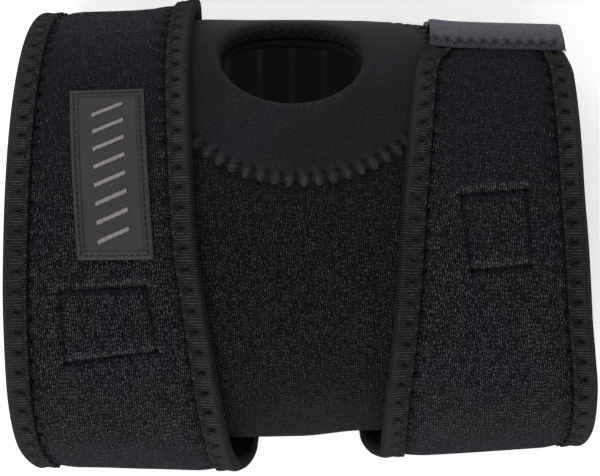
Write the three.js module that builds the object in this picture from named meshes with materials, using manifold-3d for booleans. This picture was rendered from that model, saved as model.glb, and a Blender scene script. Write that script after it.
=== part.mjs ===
import * as THREE from 'three';
import { mergeVertices } from 'three/addons/utils/BufferGeometryUtils.js';
import Module from 'manifold-3d';

// A neoprene knee support, lying on its side as it rests by itself.
// Millimetres, +Z up. The leg runs along X, with the thigh end at -X and the calf end at +X.
// The kneecap hole looks towards +Y and up.

// Sleeve
const sleeveLength = 178;
const sleeveWidth = 148;
const sleeveHeight = 94;
const sleeveWall = 4;
const sagDepth = 2.5;

// Shallow ribs round the inside of the knee stretch
const ribPitch = 12;
const ribDepth = 1.2;
const ribCount = 5;

// Kneecap hole, the smooth panel round it and the soft ring behind it
const holeAlong = 48.4;
const holeAround = 42;
const holeOffAxis = -2;
const kneecapArc = 41;
const panelRadius = 51.5;
const panelWall = 4;
const ringWidth = 12;
const ringThick = 4;
const rimRound = 1.6;

// Straps, at their widest
const thighStrapWidth = 80;
const calfStrapWidth = 76;
const strapThick = 4.4;
const strapEdgeThick = 2.6;
const thighOverhang = 5.8;
const calfOverhang = 11.8;
const thighSlack = 6.4;
const calfSlack = 4.2;
const thighFlare = 2.8;

// Edge tapes, folded round the strap's edges
const tapeThick = 0.9;
const tapeCover = 8.2;

// Hook tabs
const tabThick = 1.8;
const calfTabLength = 74;
const thighTabLength = 25;
const tabOverlap = 9;
const tailOverlap = 11;
const calfSeamArc = 37.5;
const thighSeamArc = -15;
const calfSeamSlant = 6;

// Rubber badge on the thigh strap
const badgeWidth = 24.4;
const badgeLength = 58.2;
const badgeThick = 1.5;
const badgeLean = 4.8;
const badgeFromEdge = 34.5;
const badgeArc = 88.6;

// Clearances
const seamGap = 0.3;
const panelGap = 0.7;
const snug = 0.5;

// Fineness
const turnSteps = 60;
const holeSteps = 36;

// Main form of the sleeve. along is a share of half its length, knee and back are shares of its
// width, high is a share of its height.
const sleeveForm = [
  { along: -1, knee: 0.511, back: 0.466, high: 0.989 },
  { along: -0.66, knee: 0.519, back: 0.47, high: 1 },
  { along: -0.33, knee: 0.533, back: 0.474, high: 1 },
  { along: 0.01, knee: 0.53, back: 0.472, high: 1 },
  { along: 0.24, knee: 0.53, back: 0.459, high: 0.99 },
  { along: 0.46, knee: 0.522, back: 0.455, high: 0.979 },
  { along: 0.62, knee: 0.511, back: 0.45, high: 0.968 },
  { along: 1, knee: 0.504, back: 0.434, high: 0.94 },
];

// Section of the lying sleeve: shares of its width or height, and how square each quarter is.
const crownShift = 0.068;
const kneeFoldHigh = 0.31;
const backFoldHigh = 0.447;
const kneeFlat = 0.16;
const backFlat = 0.243;
const crownSquareKnee = 1.95;
const crownSquareBack = 2.15;
const floorSquare = 2.25;

// Straps. turn runs from the knee fold over the crown to the back fold and on underneath.
// pull is how far the outer edge draws in and wide is the width left, both as shares of the
// strap's width. lift is a share of its slack and flare a share of the thigh strap's flare.
const thighForm = [
  { turn: 0, pull: 0.04, wide: 0.708, lift: 0.05, flare: 1 },
  { turn: 0.05, pull: 0.02, wide: 0.721, lift: 0, flare: 0.7 },
  { turn: 0.1, pull: 0.011, wide: 0.724, lift: 0, flare: 0.15 },
  { turn: 0.2, pull: 0.004, wide: 0.755, lift: 0, flare: 0 },
  { turn: 0.28, pull: 0.0025, wide: 0.785, lift: 0, flare: 0 },
  { turn: 0.34, pull: 0, wide: 0.831, lift: 0.02, flare: 0 },
  { turn: 0.4, pull: 0, wide: 0.8725, lift: 0.42, flare: 0 },
  { turn: 0.45, pull: 0.0125, wide: 0.8975, lift: 0.94, flare: 0 },
  { turn: 0.5, pull: 0.045, wide: 0.8925, lift: 1, flare: 0 },
  { turn: 0.53, pull: 0.035, wide: 0.9425, lift: 0.92, flare: 0 },
  { turn: 0.56, pull: 0.025, wide: 0.98, lift: 0.65, flare: 0 },
  { turn: 0.62, pull: 0.0125, wide: 1, lift: 0, flare: 0 },
  { turn: 0.75, pull: 0.006, wide: 0.904, lift: 0, flare: 0 },
  { turn: 0.87, pull: 0.019, wide: 0.76, lift: 0, flare: 0 },
  { turn: 0.94, pull: 0.034, wide: 0.705, lift: 0.02, flare: 0.2 },
  { turn: 1, pull: 0.04, wide: 0.708, lift: 0.05, flare: 1 },
];
const calfForm = [
  { turn: 0, pull: 0.124, wide: 0.629, lift: 0, flare: 0 },
  { turn: 0.09, pull: 0.123, wide: 0.637, lift: 0, flare: 0 },
  { turn: 0.12, pull: 0.096, wide: 0.714, lift: 0, flare: 0 },
  { turn: 0.17, pull: 0.0924, wide: 0.747, lift: 0, flare: 0 },
  { turn: 0.23, pull: 0.0905, wide: 0.781, lift: 0, flare: 0 },
  { turn: 0.28, pull: 0.078, wide: 0.8145, lift: 0, flare: 0 },
  { turn: 0.34, pull: 0.0595, wide: 0.855, lift: 0, flare: 0 },
  { turn: 0.375, pull: 0.038, wide: 0.892, lift: 0.2, flare: 0 },
  { turn: 0.41, pull: 0.013, wide: 0.934, lift: 0.5, flare: 0 },
  { turn: 0.46, pull: 0, wide: 0.953, lift: 0.92, flare: 0 },
  { turn: 0.5, pull: 0.0095, wide: 0.9355, lift: 1, flare: 0 },
  { turn: 0.53, pull: 0.02, wide: 0.974, lift: 0.9, flare: 0 },
  { turn: 0.56, pull: 0.026, wide: 1, lift: 0.6, flare: 0 },
  { turn: 0.62, pull: 0.043, wide: 0.987, lift: 0, flare: 0 },
  { turn: 0.75, pull: 0.076, wide: 0.829, lift: 0, flare: 0 },
  { turn: 0.9, pull: 0.114, wide: 0.651, lift: 0, flare: 0 },
  { turn: 1, pull: 0.124, wide: 0.629, lift: 0, flare: 0 },
];

// How a hook tab lies, from its seam to its tip: 1 is on the strap and 0 is down on the sleeve.
const calfTabSeat = [
  { down: 0, seat: 1 },
  { down: 0.17, seat: 1 },
  { down: 0.31, seat: 0.08 },
  { down: 0.62, seat: 0.08 },
  { down: 0.77, seat: 1 },
  { down: 1, seat: 1 },
];
const thighTabSeat = [
  { down: 0, seat: 1 },
  { down: 1, seat: 1 },
];

// Derived sizes
const halfLength = sleeveLength / 2;
const bandHalf = strapEdgeThick / 2 + seamGap + tapeThick;
const sleeveRise = 2 * bandHalf + snug;
const ringInner = sleeveWall + seamGap;

// Width over which a strap swells from its flat edge to its full thickness
const swell = 1.9 * tapeCover;

const material = (color, roughness) =>
  new THREE.MeshStandardMaterial({ color, roughness, metalness: 0 });
const loopKnit = material(0x17171b, 0.95);
const smoothKnit = material(0x25252a, 0.85);
const edgeTape = material(0x1b1b1a, 0.75);
const hookTape = material(0x4c515c, 0.8);
const rubber = material(0x3a3a3c, 0.6);

// Smooth value of one column of a table, going straight on past both ends.
function read(table, by, column, at) {
  const last = table.length - 1;
  const slope = (i) =>
    (table[i + 1][column] - table[i][column]) / (table[i + 1][by] - table[i][by]);
  if (at <= table[0][by]) return table[0][column] + slope(0) * (at - table[0][by]);
  if (at >= table[last][by]) {
    return table[last][column] + slope(last - 1) * (at - table[last][by]);
  }
  let i = 0;
  while (table[i + 1][by] < at) i += 1;
  const bend = (k) => {
    if (k === 0) return slope(0);
    if (k === last) return slope(last - 1);
    const before = slope(k - 1);
    const after = slope(k);
    return before * after > 0 ? (2 * before * after) / (before + after) : 0;
  };
  const span = table[i + 1][by] - table[i][by];
  const t = (at - table[i][by]) / span;
  return (
    (1 + 2 * t) * (1 - t) ** 2 * table[i][column] +
    t * (1 - t) ** 2 * span * bend(i) +
    t * t * (3 - 2 * t) * table[i + 1][column] +
    t * t * (t - 1) * span * bend(i + 1)
  );
}

// The sleeve's underside hangs a little lower between the straps.
const sagCentre = 0.045 * halfLength;
const sagReach = 0.19 * halfLength;
function sag(x) {
  const away = Math.abs(x - sagCentre) / sagReach;
  return away < 1 ? (sagDepth * (1 + Math.cos(Math.PI * away))) / 2 : 0;
}

// Outer skin of the sleeve at x: points from the knee fold over the crown and back underneath,
// with their outward normals and their distance along the skin.
const quarterSteps = 40;
const loops = new Map();
function skinLoop(x) {
  if (loops.has(x)) return loops.get(x);
  const along = x / halfLength;
  const knee = read(sleeveForm, 'along', 'knee', along) * sleeveWidth;
  const back = read(sleeveForm, 'along', 'back', along) * sleeveWidth;
  const top = read(sleeveForm, 'along', 'high', along) * sleeveHeight;
  const crown = -crownShift * sleeveWidth;
  const kneeHigh = kneeFoldHigh * sleeveHeight;
  const backHigh = backFoldHigh * sleeveHeight;
  const kneeEnd = kneeFlat * sleeveWidth;
  const backEnd = -backFlat * sleeveWidth;
  const low = -sag(x);
  const points = [];
  const quarter = (square, fromY, toY, fromZ, toZ, rising) => {
    for (let i = 0; i < quarterSteps; i += 1) {
      const a = ((rising ? i : quarterSteps - i) / quarterSteps) * (Math.PI / 2);
      points.push([
        fromY + (toY - fromY) * Math.max(Math.cos(a), 0) ** (2 / square),
        fromZ + (toZ - fromZ) * Math.max(Math.sin(a), 0) ** (2 / square),
      ]);
    }
  };
  quarter(crownSquareKnee, crown, knee, kneeHigh, top, true);
  quarter(crownSquareBack, crown, -back, backHigh, top, false);
  quarter(floorSquare, backEnd, -back, backHigh, low, true);
  points.push([backEnd, low]);
  quarter(floorSquare, kneeEnd, knee, kneeHigh, low, false);
  const count = points.length;
  const at = [0];
  for (let i = 1; i <= count; i += 1) {
    const [y, z] = points[i % count];
    const [y0, z0] = points[i - 1];
    at.push(at[i - 1] + Math.hypot(y - y0, z - z0));
  }
  const normals = points.map((_, i) => {
    const [y1, z1] = points[(i + 1) % count];
    const [y0, z0] = points[(i + count - 1) % count];
    const size = Math.hypot(y1 - y0, z1 - z0);
    return [(z1 - z0) / size, -(y1 - y0) / size];
  });
  const loop = { points, normals, at, length: at[count] };
  loops.set(x, loop);
  return loop;
}

// Point at a distance off the sleeve's outer skin.
function offSkin(x, turn, off) {
  const { points, normals, at, length } = skinLoop(x);
  const goal = (turn - Math.floor(turn)) * length;
  let low = 0;
  let high = points.length;
  while (high - low > 1) {
    const middle = (low + high) >> 1;
    if (at[middle] <= goal) low = middle;
    else high = middle;
  }
  const next = high % points.length;
  const t = (goal - at[low]) / (at[high] - at[low]);
  const mix = (a, b) => a + (b - a) * t;
  const ny = mix(normals[low][0], normals[next][0]);
  const nz = mix(normals[low][1], normals[next][1]);
  const size = Math.hypot(ny, nz);
  return new THREE.Vector3(
    x,
    mix(points[low][0], points[next][0]) + (ny / size) * off,
    mix(points[low][1], points[next][1]) + (nz / size) * off + sleeveRise,
  );
}

const turnsOf = (arc, x) => arc / skinLoop(x).length;

// Stations from one turn to another, through given turns and the sleeve's own stations, apart
// from those that lie too near a given one.
function stations(from, to, through = []) {
  const given = [from, ...through, to];
  const nearest = 0.3 / turnSteps;
  const list = [...given];
  for (let i = Math.ceil(from * turnSteps); i / turnSteps < to; i += 1) {
    const turn = i / turnSteps;
    if (given.every((other) => Math.abs(other - turn) > nearest)) list.push(turn);
  }
  return list.sort((a, b) => a - b);
}

// Closed body swept along a list of steps. profile(step) is a closed outline of pairs, and
// place(pair, step) puts each pair in space. closed joins the last step to the first.
function sweep(steps, profile, place, closed) {
  const size = profile(steps[0]).length;
  const corners = [];
  for (const step of steps) {
    for (const pair of profile(step)) corners.push(...place(pair, step).toArray());
  }
  const index = [];
  const spans = closed ? steps.length : steps.length - 1;
  for (let i = 0; i < spans; i += 1) {
    const here = i * size;
    const there = ((i + 1) % steps.length) * size;
    for (let j = 0; j < size; j += 1) {
      const k = (j + 1) % size;
      index.push(here + j, here + k, there + k, here + j, there + k, there + j);
    }
  }
  if (!closed) {
    const capOf = (step) =>
      THREE.ShapeUtils.triangulateShape(profile(step).map((p) => new THREE.Vector2(...p)), []);
    const turning = (step) =>
      THREE.ShapeUtils.area(profile(step).map((p) => new THREE.Vector2(...p))) > 0;
    const last = (steps.length - 1) * size;
    const put = (a, b, c, turned) => index.push(...(turned ? [a, b, c] : [a, c, b]));
    const start = steps[0];
    const end = steps[steps.length - 1];
    for (const [a, b, c] of capOf(start)) put(a, b, c, !turning(start));
    for (const [a, b, c] of capOf(end)) put(last + a, last + b, last + c, turning(end));
    if (!turning(start)) index.reverse();
  }
  const body = new THREE.BufferGeometry();
  body.setAttribute('position', new THREE.Float32BufferAttribute(corners, 3));
  body.setIndex(index);
  if (volume(body) < 0) body.setIndex(index.slice().reverse());
  return body;
}

function volume(body) {
  const at = body.getAttribute('position');
  const index = body.getIndex();
  const [a, b, c] = [new THREE.Vector3(), new THREE.Vector3(), new THREE.Vector3()];
  let sum = 0;
  for (let i = 0; i < index.count; i += 3) {
    a.fromBufferAttribute(at, index.getX(i));
    b.fromBufferAttribute(at, index.getX(i + 1));
    c.fromBufferAttribute(at, index.getX(i + 2));
    sum += a.dot(b.cross(c)) / 6;
  }
  return sum;
}

const wasm = await Module();
wasm.setup();

function solidOf(body) {
  const merged = mergeVertices(body, 1e-4);
  return new wasm.Manifold(
    new wasm.Mesh({
      numProp: 3,
      vertProperties: Float32Array.from(merged.getAttribute('position').array),
      triVerts: Uint32Array.from(merged.getIndex().array),
    }),
  );
}

function bodyOf(solid) {
  const { vertProperties, triVerts } = solid.getMesh();
  const body = new THREE.BufferGeometry();
  body.setAttribute('position', new THREE.BufferAttribute(vertProperties, 3));
  body.setIndex(new THREE.BufferAttribute(triVerts, 1));
  return body;
}

const part = new THREE.Group();
function add(name, body, finish) {
  body.computeVertexNormals();
  const mesh = new THREE.Mesh(body, finish);
  mesh.name = name;
  part.add(mesh);
}

// Kneecap area. Places are pairs: distance along the leg and distance round from the knee fold.
const roundSteps = [...Array(holeSteps).keys()].map((i) => (2 * Math.PI * i) / holeSteps);
const holeAt = (angle, grown) => [
  holeOffAxis + (holeAlong / 2 + grown) * Math.cos(angle),
  kneecapArc + (holeAround / 2 + grown) * Math.sin(angle),
];
const seamAt = (angle, grown) => [
  (panelRadius + grown) * Math.cos(angle),
  kneecapArc + (panelRadius + grown) * Math.sin(angle),
];
const between = (a, b, t) => [a[0] + (b[0] - a[0]) * t, a[1] + (b[1] - a[1]) * t];
// station 0 is the hole's edge, 1 the ring's outer edge and 2 the panel's seam
function kneecapPlace([station, off], angle) {
  const ring = holeAt(angle, ringWidth);
  const [x, arc] =
    station <= 1
      ? between(holeAt(angle, 0), ring, station)
      : between(ring, seamAt(angle, 0), station - 1);
  return offSkin(x, turnsOf(arc, x), off);
}

function kneecapPanel() {
  const rim = rimRound / ringWidth;
  const profile = [
    [0, -panelWall],
    [0, -rimRound],
    [rim, 0],
    [1, 0],
    [1.5, 0],
    [2, 0],
    [2, -panelWall],
    [1.5, -panelWall],
    [1, -panelWall],
  ];
  return sweep(roundSteps, () => profile, kneecapPlace, true);
}

function kneecapRing() {
  const rim = rimRound / ringWidth;
  const deep = -ringInner - ringThick;
  const profile = [
    [0, -ringInner],
    [1, -ringInner],
    [1, deep + rimRound],
    [1 - rim, deep],
    [rim, deep],
    [0, deep + rimRound],
  ];
  return sweep(roundSteps, () => profile, kneecapPlace, true);
}

// Plug that opens the sleeve for the panel, laid in rings so that it follows the knee's curve.
function panelPlug() {
  const grown = panelGap;
  const rings = [1, 0.66, 0.33];
  const above = 3;
  const below = -sleeveWall - ribDepth - 3;
  const corners = [];
  const index = [];
  const put = (share, angle, off) => {
    const [x, arc] = between([0, kneecapArc], seamAt(angle, grown), share);
    corners.push(...offSkin(x, turnsOf(arc, x), off).toArray());
  };
  for (const off of [above, below]) {
    for (const share of rings) for (const angle of roundSteps) put(share, angle, off);
    put(0, 0, off);
  }
  const side = rings.length * holeSteps + 1;
  for (const [start, up] of [[0, true], [side, false]]) {
    const face = (a, b, c) => index.push(...(up ? [a, b, c] : [a, c, b]));
    for (let j = 0; j < holeSteps; j += 1) {
      const k = (j + 1) % holeSteps;
      for (let r = 0; r + 1 < rings.length; r += 1) {
        const outer = start + r * holeSteps;
        const inner = outer + holeSteps;
        face(outer + j, outer + k, inner + k);
        face(outer + j, inner + k, inner + j);
      }
      const inmost = start + (rings.length - 1) * holeSteps;
      face(inmost + j, inmost + k, start + side - 1);
    }
  }
  for (let j = 0; j < holeSteps; j += 1) {
    const k = (j + 1) % holeSteps;
    index.push(j, side + j, side + k, j, side + k, k);
  }
  const body = new THREE.BufferGeometry();
  body.setAttribute('position', new THREE.Float32BufferAttribute(corners, 3));
  body.setIndex(index);
  if (volume(body) < 0) body.setIndex(index.slice().reverse());
  return body;
}

// Sleeve: one closed tube wall with ribs on its inner skin, opened for the panel
function sleeve() {
  const farStations = [0.7, 0.46];
  const sagStations = [-1, -0.5, 0, 0.5, 1].map((share) => sagCentre + share * sagReach);
  const outer = [
    -halfLength,
    ...farStations.map((share) => -share * halfLength),
    ...sagStations,
    ...farStations.map((share) => share * halfLength).reverse(),
    halfLength,
  ];
  const inner = [halfLength, farStations[0] * halfLength];
  const ribStart = holeOffAxis + (ribCount * ribPitch) / 2;
  const ribs = [];
  for (let i = 0; i <= 2 * ribCount; i += 1) {
    ribs.push([ribStart - (i * ribPitch) / 2, i % 2 ? ribDepth - sleeveWall : -sleeveWall]);
  }
  const profile = [
    ...outer.map((x) => [x, 0]),
    ...inner.map((x) => [x, -sleeveWall]),
    ...ribs.map(([x, off]) => [x, off === -sleeveWall ? off : -sleeveWall - ribDepth]),
    [-farStations[0] * halfLength, -sleeveWall],
    [-halfLength, -sleeveWall],
  ];
  const turns = [...Array(turnSteps).keys()].map((i) => i / turnSteps);
  const tube = sweep(turns, () => profile, ([x, off], turn) => offSkin(x, turn, off), true);
  return bodyOf(solidOf(tube).subtract(solidOf(panelPlug())));
}

// Straps. side is +1 where the strap's outer edge is at -X.
const thigh = {
  form: thighForm,
  width: thighStrapWidth,
  slack: thighSlack,
  flare: thighFlare,
  edge: -halfLength - thighOverhang,
  side: 1,
  seamArc: thighSeamArc,
  seamSlant: 0,
  tabLength: thighTabLength,
};
const calf = {
  form: calfForm,
  width: calfStrapWidth,
  slack: calfSlack,
  flare: 0,
  edge: halfLength + calfOverhang,
  side: -1,
  seamArc: calfSeamArc,
  seamSlant: calfSeamSlant,
  tabLength: calfTabLength,
};
const middleOf = (strap) => strap.edge + (strap.side * strap.width) / 2;

const formOf = (strap, column, turn) =>
  read(strap.form, 'turn', column, turn - Math.floor(turn));
const widthAt = (strap, turn) => formOf(strap, 'wide', turn) * strap.width;

// Point on a strap: across is the distance from its outer edge and high the height from its
// middle layer. It lies flat where it meets the floor.
function onStrap(strap, across, high, turn) {
  const wide = widthAt(strap, turn);
  const pull = formOf(strap, 'pull', turn) * strap.width;
  const lift = snug + formOf(strap, 'lift', turn) * strap.slack;
  const outward = Math.max((across - wide + swell) / swell, 0);
  const flare = formOf(strap, 'flare', turn) * strap.flare * outward;
  const x = strap.edge + strap.side * (pull + across);
  const point = offSkin(x, turn, lift + flare + bandHalf + high);
  point.z = Math.max(point.z, bandHalf - high);
  return point;
}

// Turns at which a strap's tab is sewn on, its own end and its tail lie, and its tab ends
const arcTurns = (strap, arc) => turnsOf(arc, middleOf(strap));
const tabSeam = (strap) => arcTurns(strap, strap.seamArc);
const strapStart = (strap) => tabSeam(strap) - arcTurns(strap, tabOverlap);
const tabTip = (strap) => tabSeam(strap) - arcTurns(strap, strap.tabLength);
const strapTail = (strap) => tabTip(strap) + arcTurns(strap, tailOverlap) + 1;
const seamTurn = (strap, share) =>
  tabSeam(strap) + arcTurns(strap, strap.seamSlant) * (share - 0.5);

const tapeStart = (strap, share) => seamTurn(strap, share) + arcTurns(strap, seamGap);

function strapBody(strap) {
  const edgeHalf = strapEdgeThick / 2;
  const fullHalf = strapThick / 2;
  const inset = tapeThick + seamGap;
  const profile = (turn) => {
    const wide = widthAt(strap, turn);
    const upper = [
      [inset, edgeHalf],
      [tapeCover, edgeHalf],
      [swell, fullHalf],
      [wide - swell, fullHalf],
      [wide - tapeCover, edgeHalf],
      [wide - inset, edgeHalf],
    ];
    return [...upper, ...upper.map(([across, high]) => [across, -high]).reverse()];
  };
  const steps = stations(strapStart(strap), strapTail(strap), [
    tapeStart(strap, 0),
    tapeStart(strap, 1),
  ].filter((turn, i, all) => i === 0 || turn !== all[0]));
  return sweep(steps, profile, ([across, high], turn) => onStrap(strap, across, high, turn), false);
}

// Tape folded round one edge of a strap. inner picks the edge nearer the middle of the sleeve.
function tape(strap, inner) {
  const half = bandHalf;
  const slot = half - tapeThick;
  const nose = 1;
  const outline = [
    [tapeCover, half],
    [nose, half],
    [0, half * 0.5],
    [0, -half * 0.5],
    [nose, -half],
    [tapeCover, -half],
    [tapeCover, -slot],
    [tapeThick, -slot],
    [tapeThick, slot],
    [tapeCover, slot],
  ];
  const place = ([from, high], turn) =>
    onStrap(strap, inner ? widthAt(strap, turn) - from : from, high, turn);
  const steps = stations(tapeStart(strap, inner ? 1 : 0), strapTail(strap));
  return sweep(steps, () => outline, place, false);
}

// Hook tab: sewn over the strap's end and pressed on the strap's tail
function hookTab(strap, seats) {
  const tip = tabTip(strap);
  const seam = tabSeam(strap);
  const outline = [
    [0, 0],
    [0.5, 0],
    [1, 0],
    [1, tabThick],
    [0.5, tabThick],
    [0, tabThick],
  ];
  const place = ([share, high], turn) => {
    const down = (seam - turn) / (seam - tip);
    const seat = read(seats, 'down', 'seat', down);
    const slanted = turn + (seamTurn(strap, share) - seam);
    const wide = widthAt(strap, slanted);
    const drop = (1 - seat) * 2 * bandHalf;
    return onStrap(strap, share * wide, bandHalf + snug + high - drop, slanted);
  };
  return sweep(stations(tip, seam), () => outline, place, false);
}

// Badge: a plate that follows the thigh strap's face, leaning a little
function badge() {
  const middle = badgeFromEdge + badgeLean / 2;
  const seat = strapThick / 2 + seamGap;
  const chamfer = badgeThick / 3;
  const half = badgeWidth / 2;
  const outline = [
    [-half, 0],
    [half, 0],
    [half, badgeThick - chamfer],
    [half - chamfer, badgeThick],
    [-half + chamfer, badgeThick],
    [-half, badgeThick - chamfer],
  ];
  const x = thigh.edge + middle;
  const centre = turnsOf(badgeArc, x);
  const span = offSkin(x, centre + 0.01, bandHalf * 2).distanceTo(
    offSkin(x, centre - 0.01, bandHalf * 2),
  );
  const halfTurns = ((badgeLength / 2) * 0.02) / span;
  const steps = [...Array(13).keys()].map((i) => centre + halfTurns * (i / 6 - 1));
  const place = ([from, high], turn) => {
    const lean = (badgeLean * (turn - centre)) / (2 * halfTurns);
    const pull = formOf(thigh, 'pull', turn) * thigh.width;
    return onStrap(thigh, middle - badgeLean / 2 + lean + from - pull, seat + high, turn);
  };
  return sweep(steps, () => outline, place, false);
}

add('sleeve_body', sleeve(), loopKnit);
add('patella_panel', kneecapPanel(), smoothKnit);
add('patella_ring', kneecapRing(), smoothKnit);
add('thigh_strap', strapBody(thigh), loopKnit);
add('calf_strap', strapBody(calf), loopKnit);
add('thigh_outer_binding', tape(thigh, false), edgeTape);
add('thigh_inner_binding', tape(thigh, true), edgeTape);
add('calf_inner_binding', tape(calf, true), edgeTape);
add('calf_outer_binding', tape(calf, false), edgeTape);
add('calf_hook_tab', hookTab(calf, calfTabSeat), hookTape);
add('thigh_hook_tab', hookTab(thigh, thighTabSeat), hookTape);
add('label_badge', badge(), rubber);

// Origin at the middle of the underside
const box = new THREE.Box3().setFromObject(part);
part.position.set(-(box.min.x + box.max.x) / 2, -(box.min.y + box.max.y) / 2, -box.min.z);
part.updateMatrixWorld(true);

export default part;
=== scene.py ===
import math

import bpy
import numpy as np
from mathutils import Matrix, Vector


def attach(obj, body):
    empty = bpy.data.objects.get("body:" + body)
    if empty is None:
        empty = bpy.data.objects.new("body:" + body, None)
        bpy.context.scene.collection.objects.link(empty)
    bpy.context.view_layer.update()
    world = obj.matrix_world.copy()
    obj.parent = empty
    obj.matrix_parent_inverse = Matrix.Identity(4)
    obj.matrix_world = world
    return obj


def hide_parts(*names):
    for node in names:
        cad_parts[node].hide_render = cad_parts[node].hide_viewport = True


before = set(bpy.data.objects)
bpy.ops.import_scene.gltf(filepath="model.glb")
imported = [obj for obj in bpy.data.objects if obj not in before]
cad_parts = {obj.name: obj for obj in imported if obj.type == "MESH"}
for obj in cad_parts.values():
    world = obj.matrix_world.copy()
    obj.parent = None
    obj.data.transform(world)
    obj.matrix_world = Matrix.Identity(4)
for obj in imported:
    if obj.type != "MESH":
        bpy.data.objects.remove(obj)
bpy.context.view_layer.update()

# A neoprene knee support lying on its side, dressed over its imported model.
# Lengths here are millimetres, from the same named values as the solids.
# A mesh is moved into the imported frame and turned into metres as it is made.

MM = 0.001
SHIFT = np.array([-2.98321533, -2.68150711, 0.0])
TURN = 2 * math.pi
BODY = "root"

# Sleeve
SLEEVE_LENGTH = 178.0
SLEEVE_WIDTH = 148.0
SLEEVE_HEIGHT = 94.0
SLEEVE_WALL = 4.0
SAG_DEPTH = 2.5
SLEEVE_RISE = 5.5
HALF_LENGTH = SLEEVE_LENGTH / 2
SAG_CENTRE = 0.045 * HALF_LENGTH
SAG_REACH = 0.19 * HALF_LENGTH
CROWN_SHIFT = 0.068
KNEE_FOLD_HIGH = 0.31
BACK_FOLD_HIGH = 0.447
KNEE_FLAT = 0.16
BACK_FLAT = 0.243
CROWN_SQUARE_KNEE = 1.95
CROWN_SQUARE_BACK = 2.15
FLOOR_SQUARE = 2.25
RIB_PITCH = 12.0
RIB_DEPTH = 1.2
RIB_COUNT = 5

# Kneecap panel, hole and ring
HOLE_ALONG = 48.4
HOLE_AROUND = 42.0
HOLE_OFF_AXIS = -2.0
KNEECAP_ARC = 41.0
PANEL_RADIUS = 51.5
PANEL_WALL = 4.0
RING_WIDTH = 12.0
RING_THICK = 4.0
RING_GAP = 0.3

# Straps and tapes
STRAP_HALF = 2.2
STRAP_EDGE_HALF = 1.3
STRAP_INSET = 1.2
TAPE_THICK = 0.9
TAPE_COVER = 8.2
SWELL = 1.9 * TAPE_COVER
BAND_HALF = 2.5
SNUG = 0.5
SEAM_GAP = 0.3
TAB_SHOWN = 1.3
TAB_OVERLAP = 9.0
TAIL_OVERLAP = 11.0

# Badge on the thigh strap
BADGE_WIDTH = 24.4
BADGE_LENGTH = 58.2
BADGE_THICK = 1.5
BADGE_LEAN = 4.8
BADGE_FROM_EDGE = 34.5
BADGE_ARC = 88.6
BADGE_FRAME = 2.7
BADGE_GROOVE = 1.45

# Stitching
BINDING_PITCH = 6.3
BINDING_IN = 4.4
BINDING_OUT = 9.2
PANEL_STITCHES = 66
PANEL_PITCH = 4.85
SEAM_IN = 3.1
SEAM_OUT = 1.1
RIM_STITCHES = 44
RIM_PITCH = 3.3
RIM_IN = 3.4
RIM_LOW = 5.2
TAB_PITCH = 4.1
TAB_FIRST = 3.5
TAB_HOLES = 2.3
TAB_BITE = 0.5

# Stands on the cloth maps for a place that is past every edge and line
FAR = 99.0

# Share of the sleeve's width out to the knee fold and to the back fold, and of its height
SLEEVE_FORM = [
    (-1, 0.511, 0.466, 0.989),
    (-0.66, 0.519, 0.47, 1),
    (-0.33, 0.533, 0.474, 1),
    (0.01, 0.53, 0.472, 1),
    (0.24, 0.53, 0.459, 0.99),
    (0.46, 0.522, 0.455, 0.979),
    (0.62, 0.511, 0.45, 0.968),
    (1, 0.504, 0.434, 0.94),
]

# Turn, pull off the leg's end, width share, lift share, flare
THIGH_FORM = [
    (0, 0.04, 0.708, 0.05, 1),
    (0.05, 0.02, 0.721, 0, 0.7),
    (0.1, 0.011, 0.724, 0, 0.15),
    (0.2, 0.004, 0.755, 0, 0),
    (0.28, 0.0025, 0.785, 0, 0),
    (0.34, 0, 0.831, 0.02, 0),
    (0.4, 0, 0.8725, 0.42, 0),
    (0.45, 0.0125, 0.8975, 0.94, 0),
    (0.5, 0.045, 0.8925, 1, 0),
    (0.53, 0.035, 0.9425, 0.92, 0),
    (0.56, 0.025, 0.98, 0.65, 0),
    (0.62, 0.0125, 1, 0, 0),
    (0.75, 0.006, 0.904, 0, 0),
    (0.87, 0.019, 0.76, 0, 0),
    (0.94, 0.034, 0.705, 0.02, 0.2),
    (1, 0.04, 0.708, 0.05, 1),
]
CALF_FORM = [
    (0, 0.124, 0.629, 0, 0),
    (0.09, 0.123, 0.637, 0, 0),
    (0.12, 0.096, 0.714, 0, 0),
    (0.17, 0.0924, 0.747, 0, 0),
    (0.23, 0.0905, 0.781, 0, 0),
    (0.28, 0.078, 0.8145, 0, 0),
    (0.34, 0.0595, 0.855, 0, 0),
    (0.375, 0.038, 0.892, 0.2, 0),
    (0.41, 0.013, 0.934, 0.5, 0),
    (0.46, 0, 0.953, 0.92, 0),
    (0.5, 0.0095, 0.9355, 1, 0),
    (0.53, 0.02, 0.974, 0.9, 0),
    (0.56, 0.026, 1, 0.6, 0),
    (0.62, 0.043, 0.987, 0, 0),
    (0.75, 0.076, 0.829, 0, 0),
    (0.9, 0.114, 0.651, 0, 0),
    (1, 0.124, 0.629, 0, 0),
]
PULL, WIDE, LIFT, FLARE = 1, 2, 3, 4

# How near each hook tab lies to the strap, from its seam to its tip
CALF_SEAT = [(0, 1), (0.17, 1), (0.31, 0.08), (0.62, 0.08), (0.77, 1), (1, 1)]
THIGH_SEAT = [(0, 1), (1, 1)]


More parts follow.
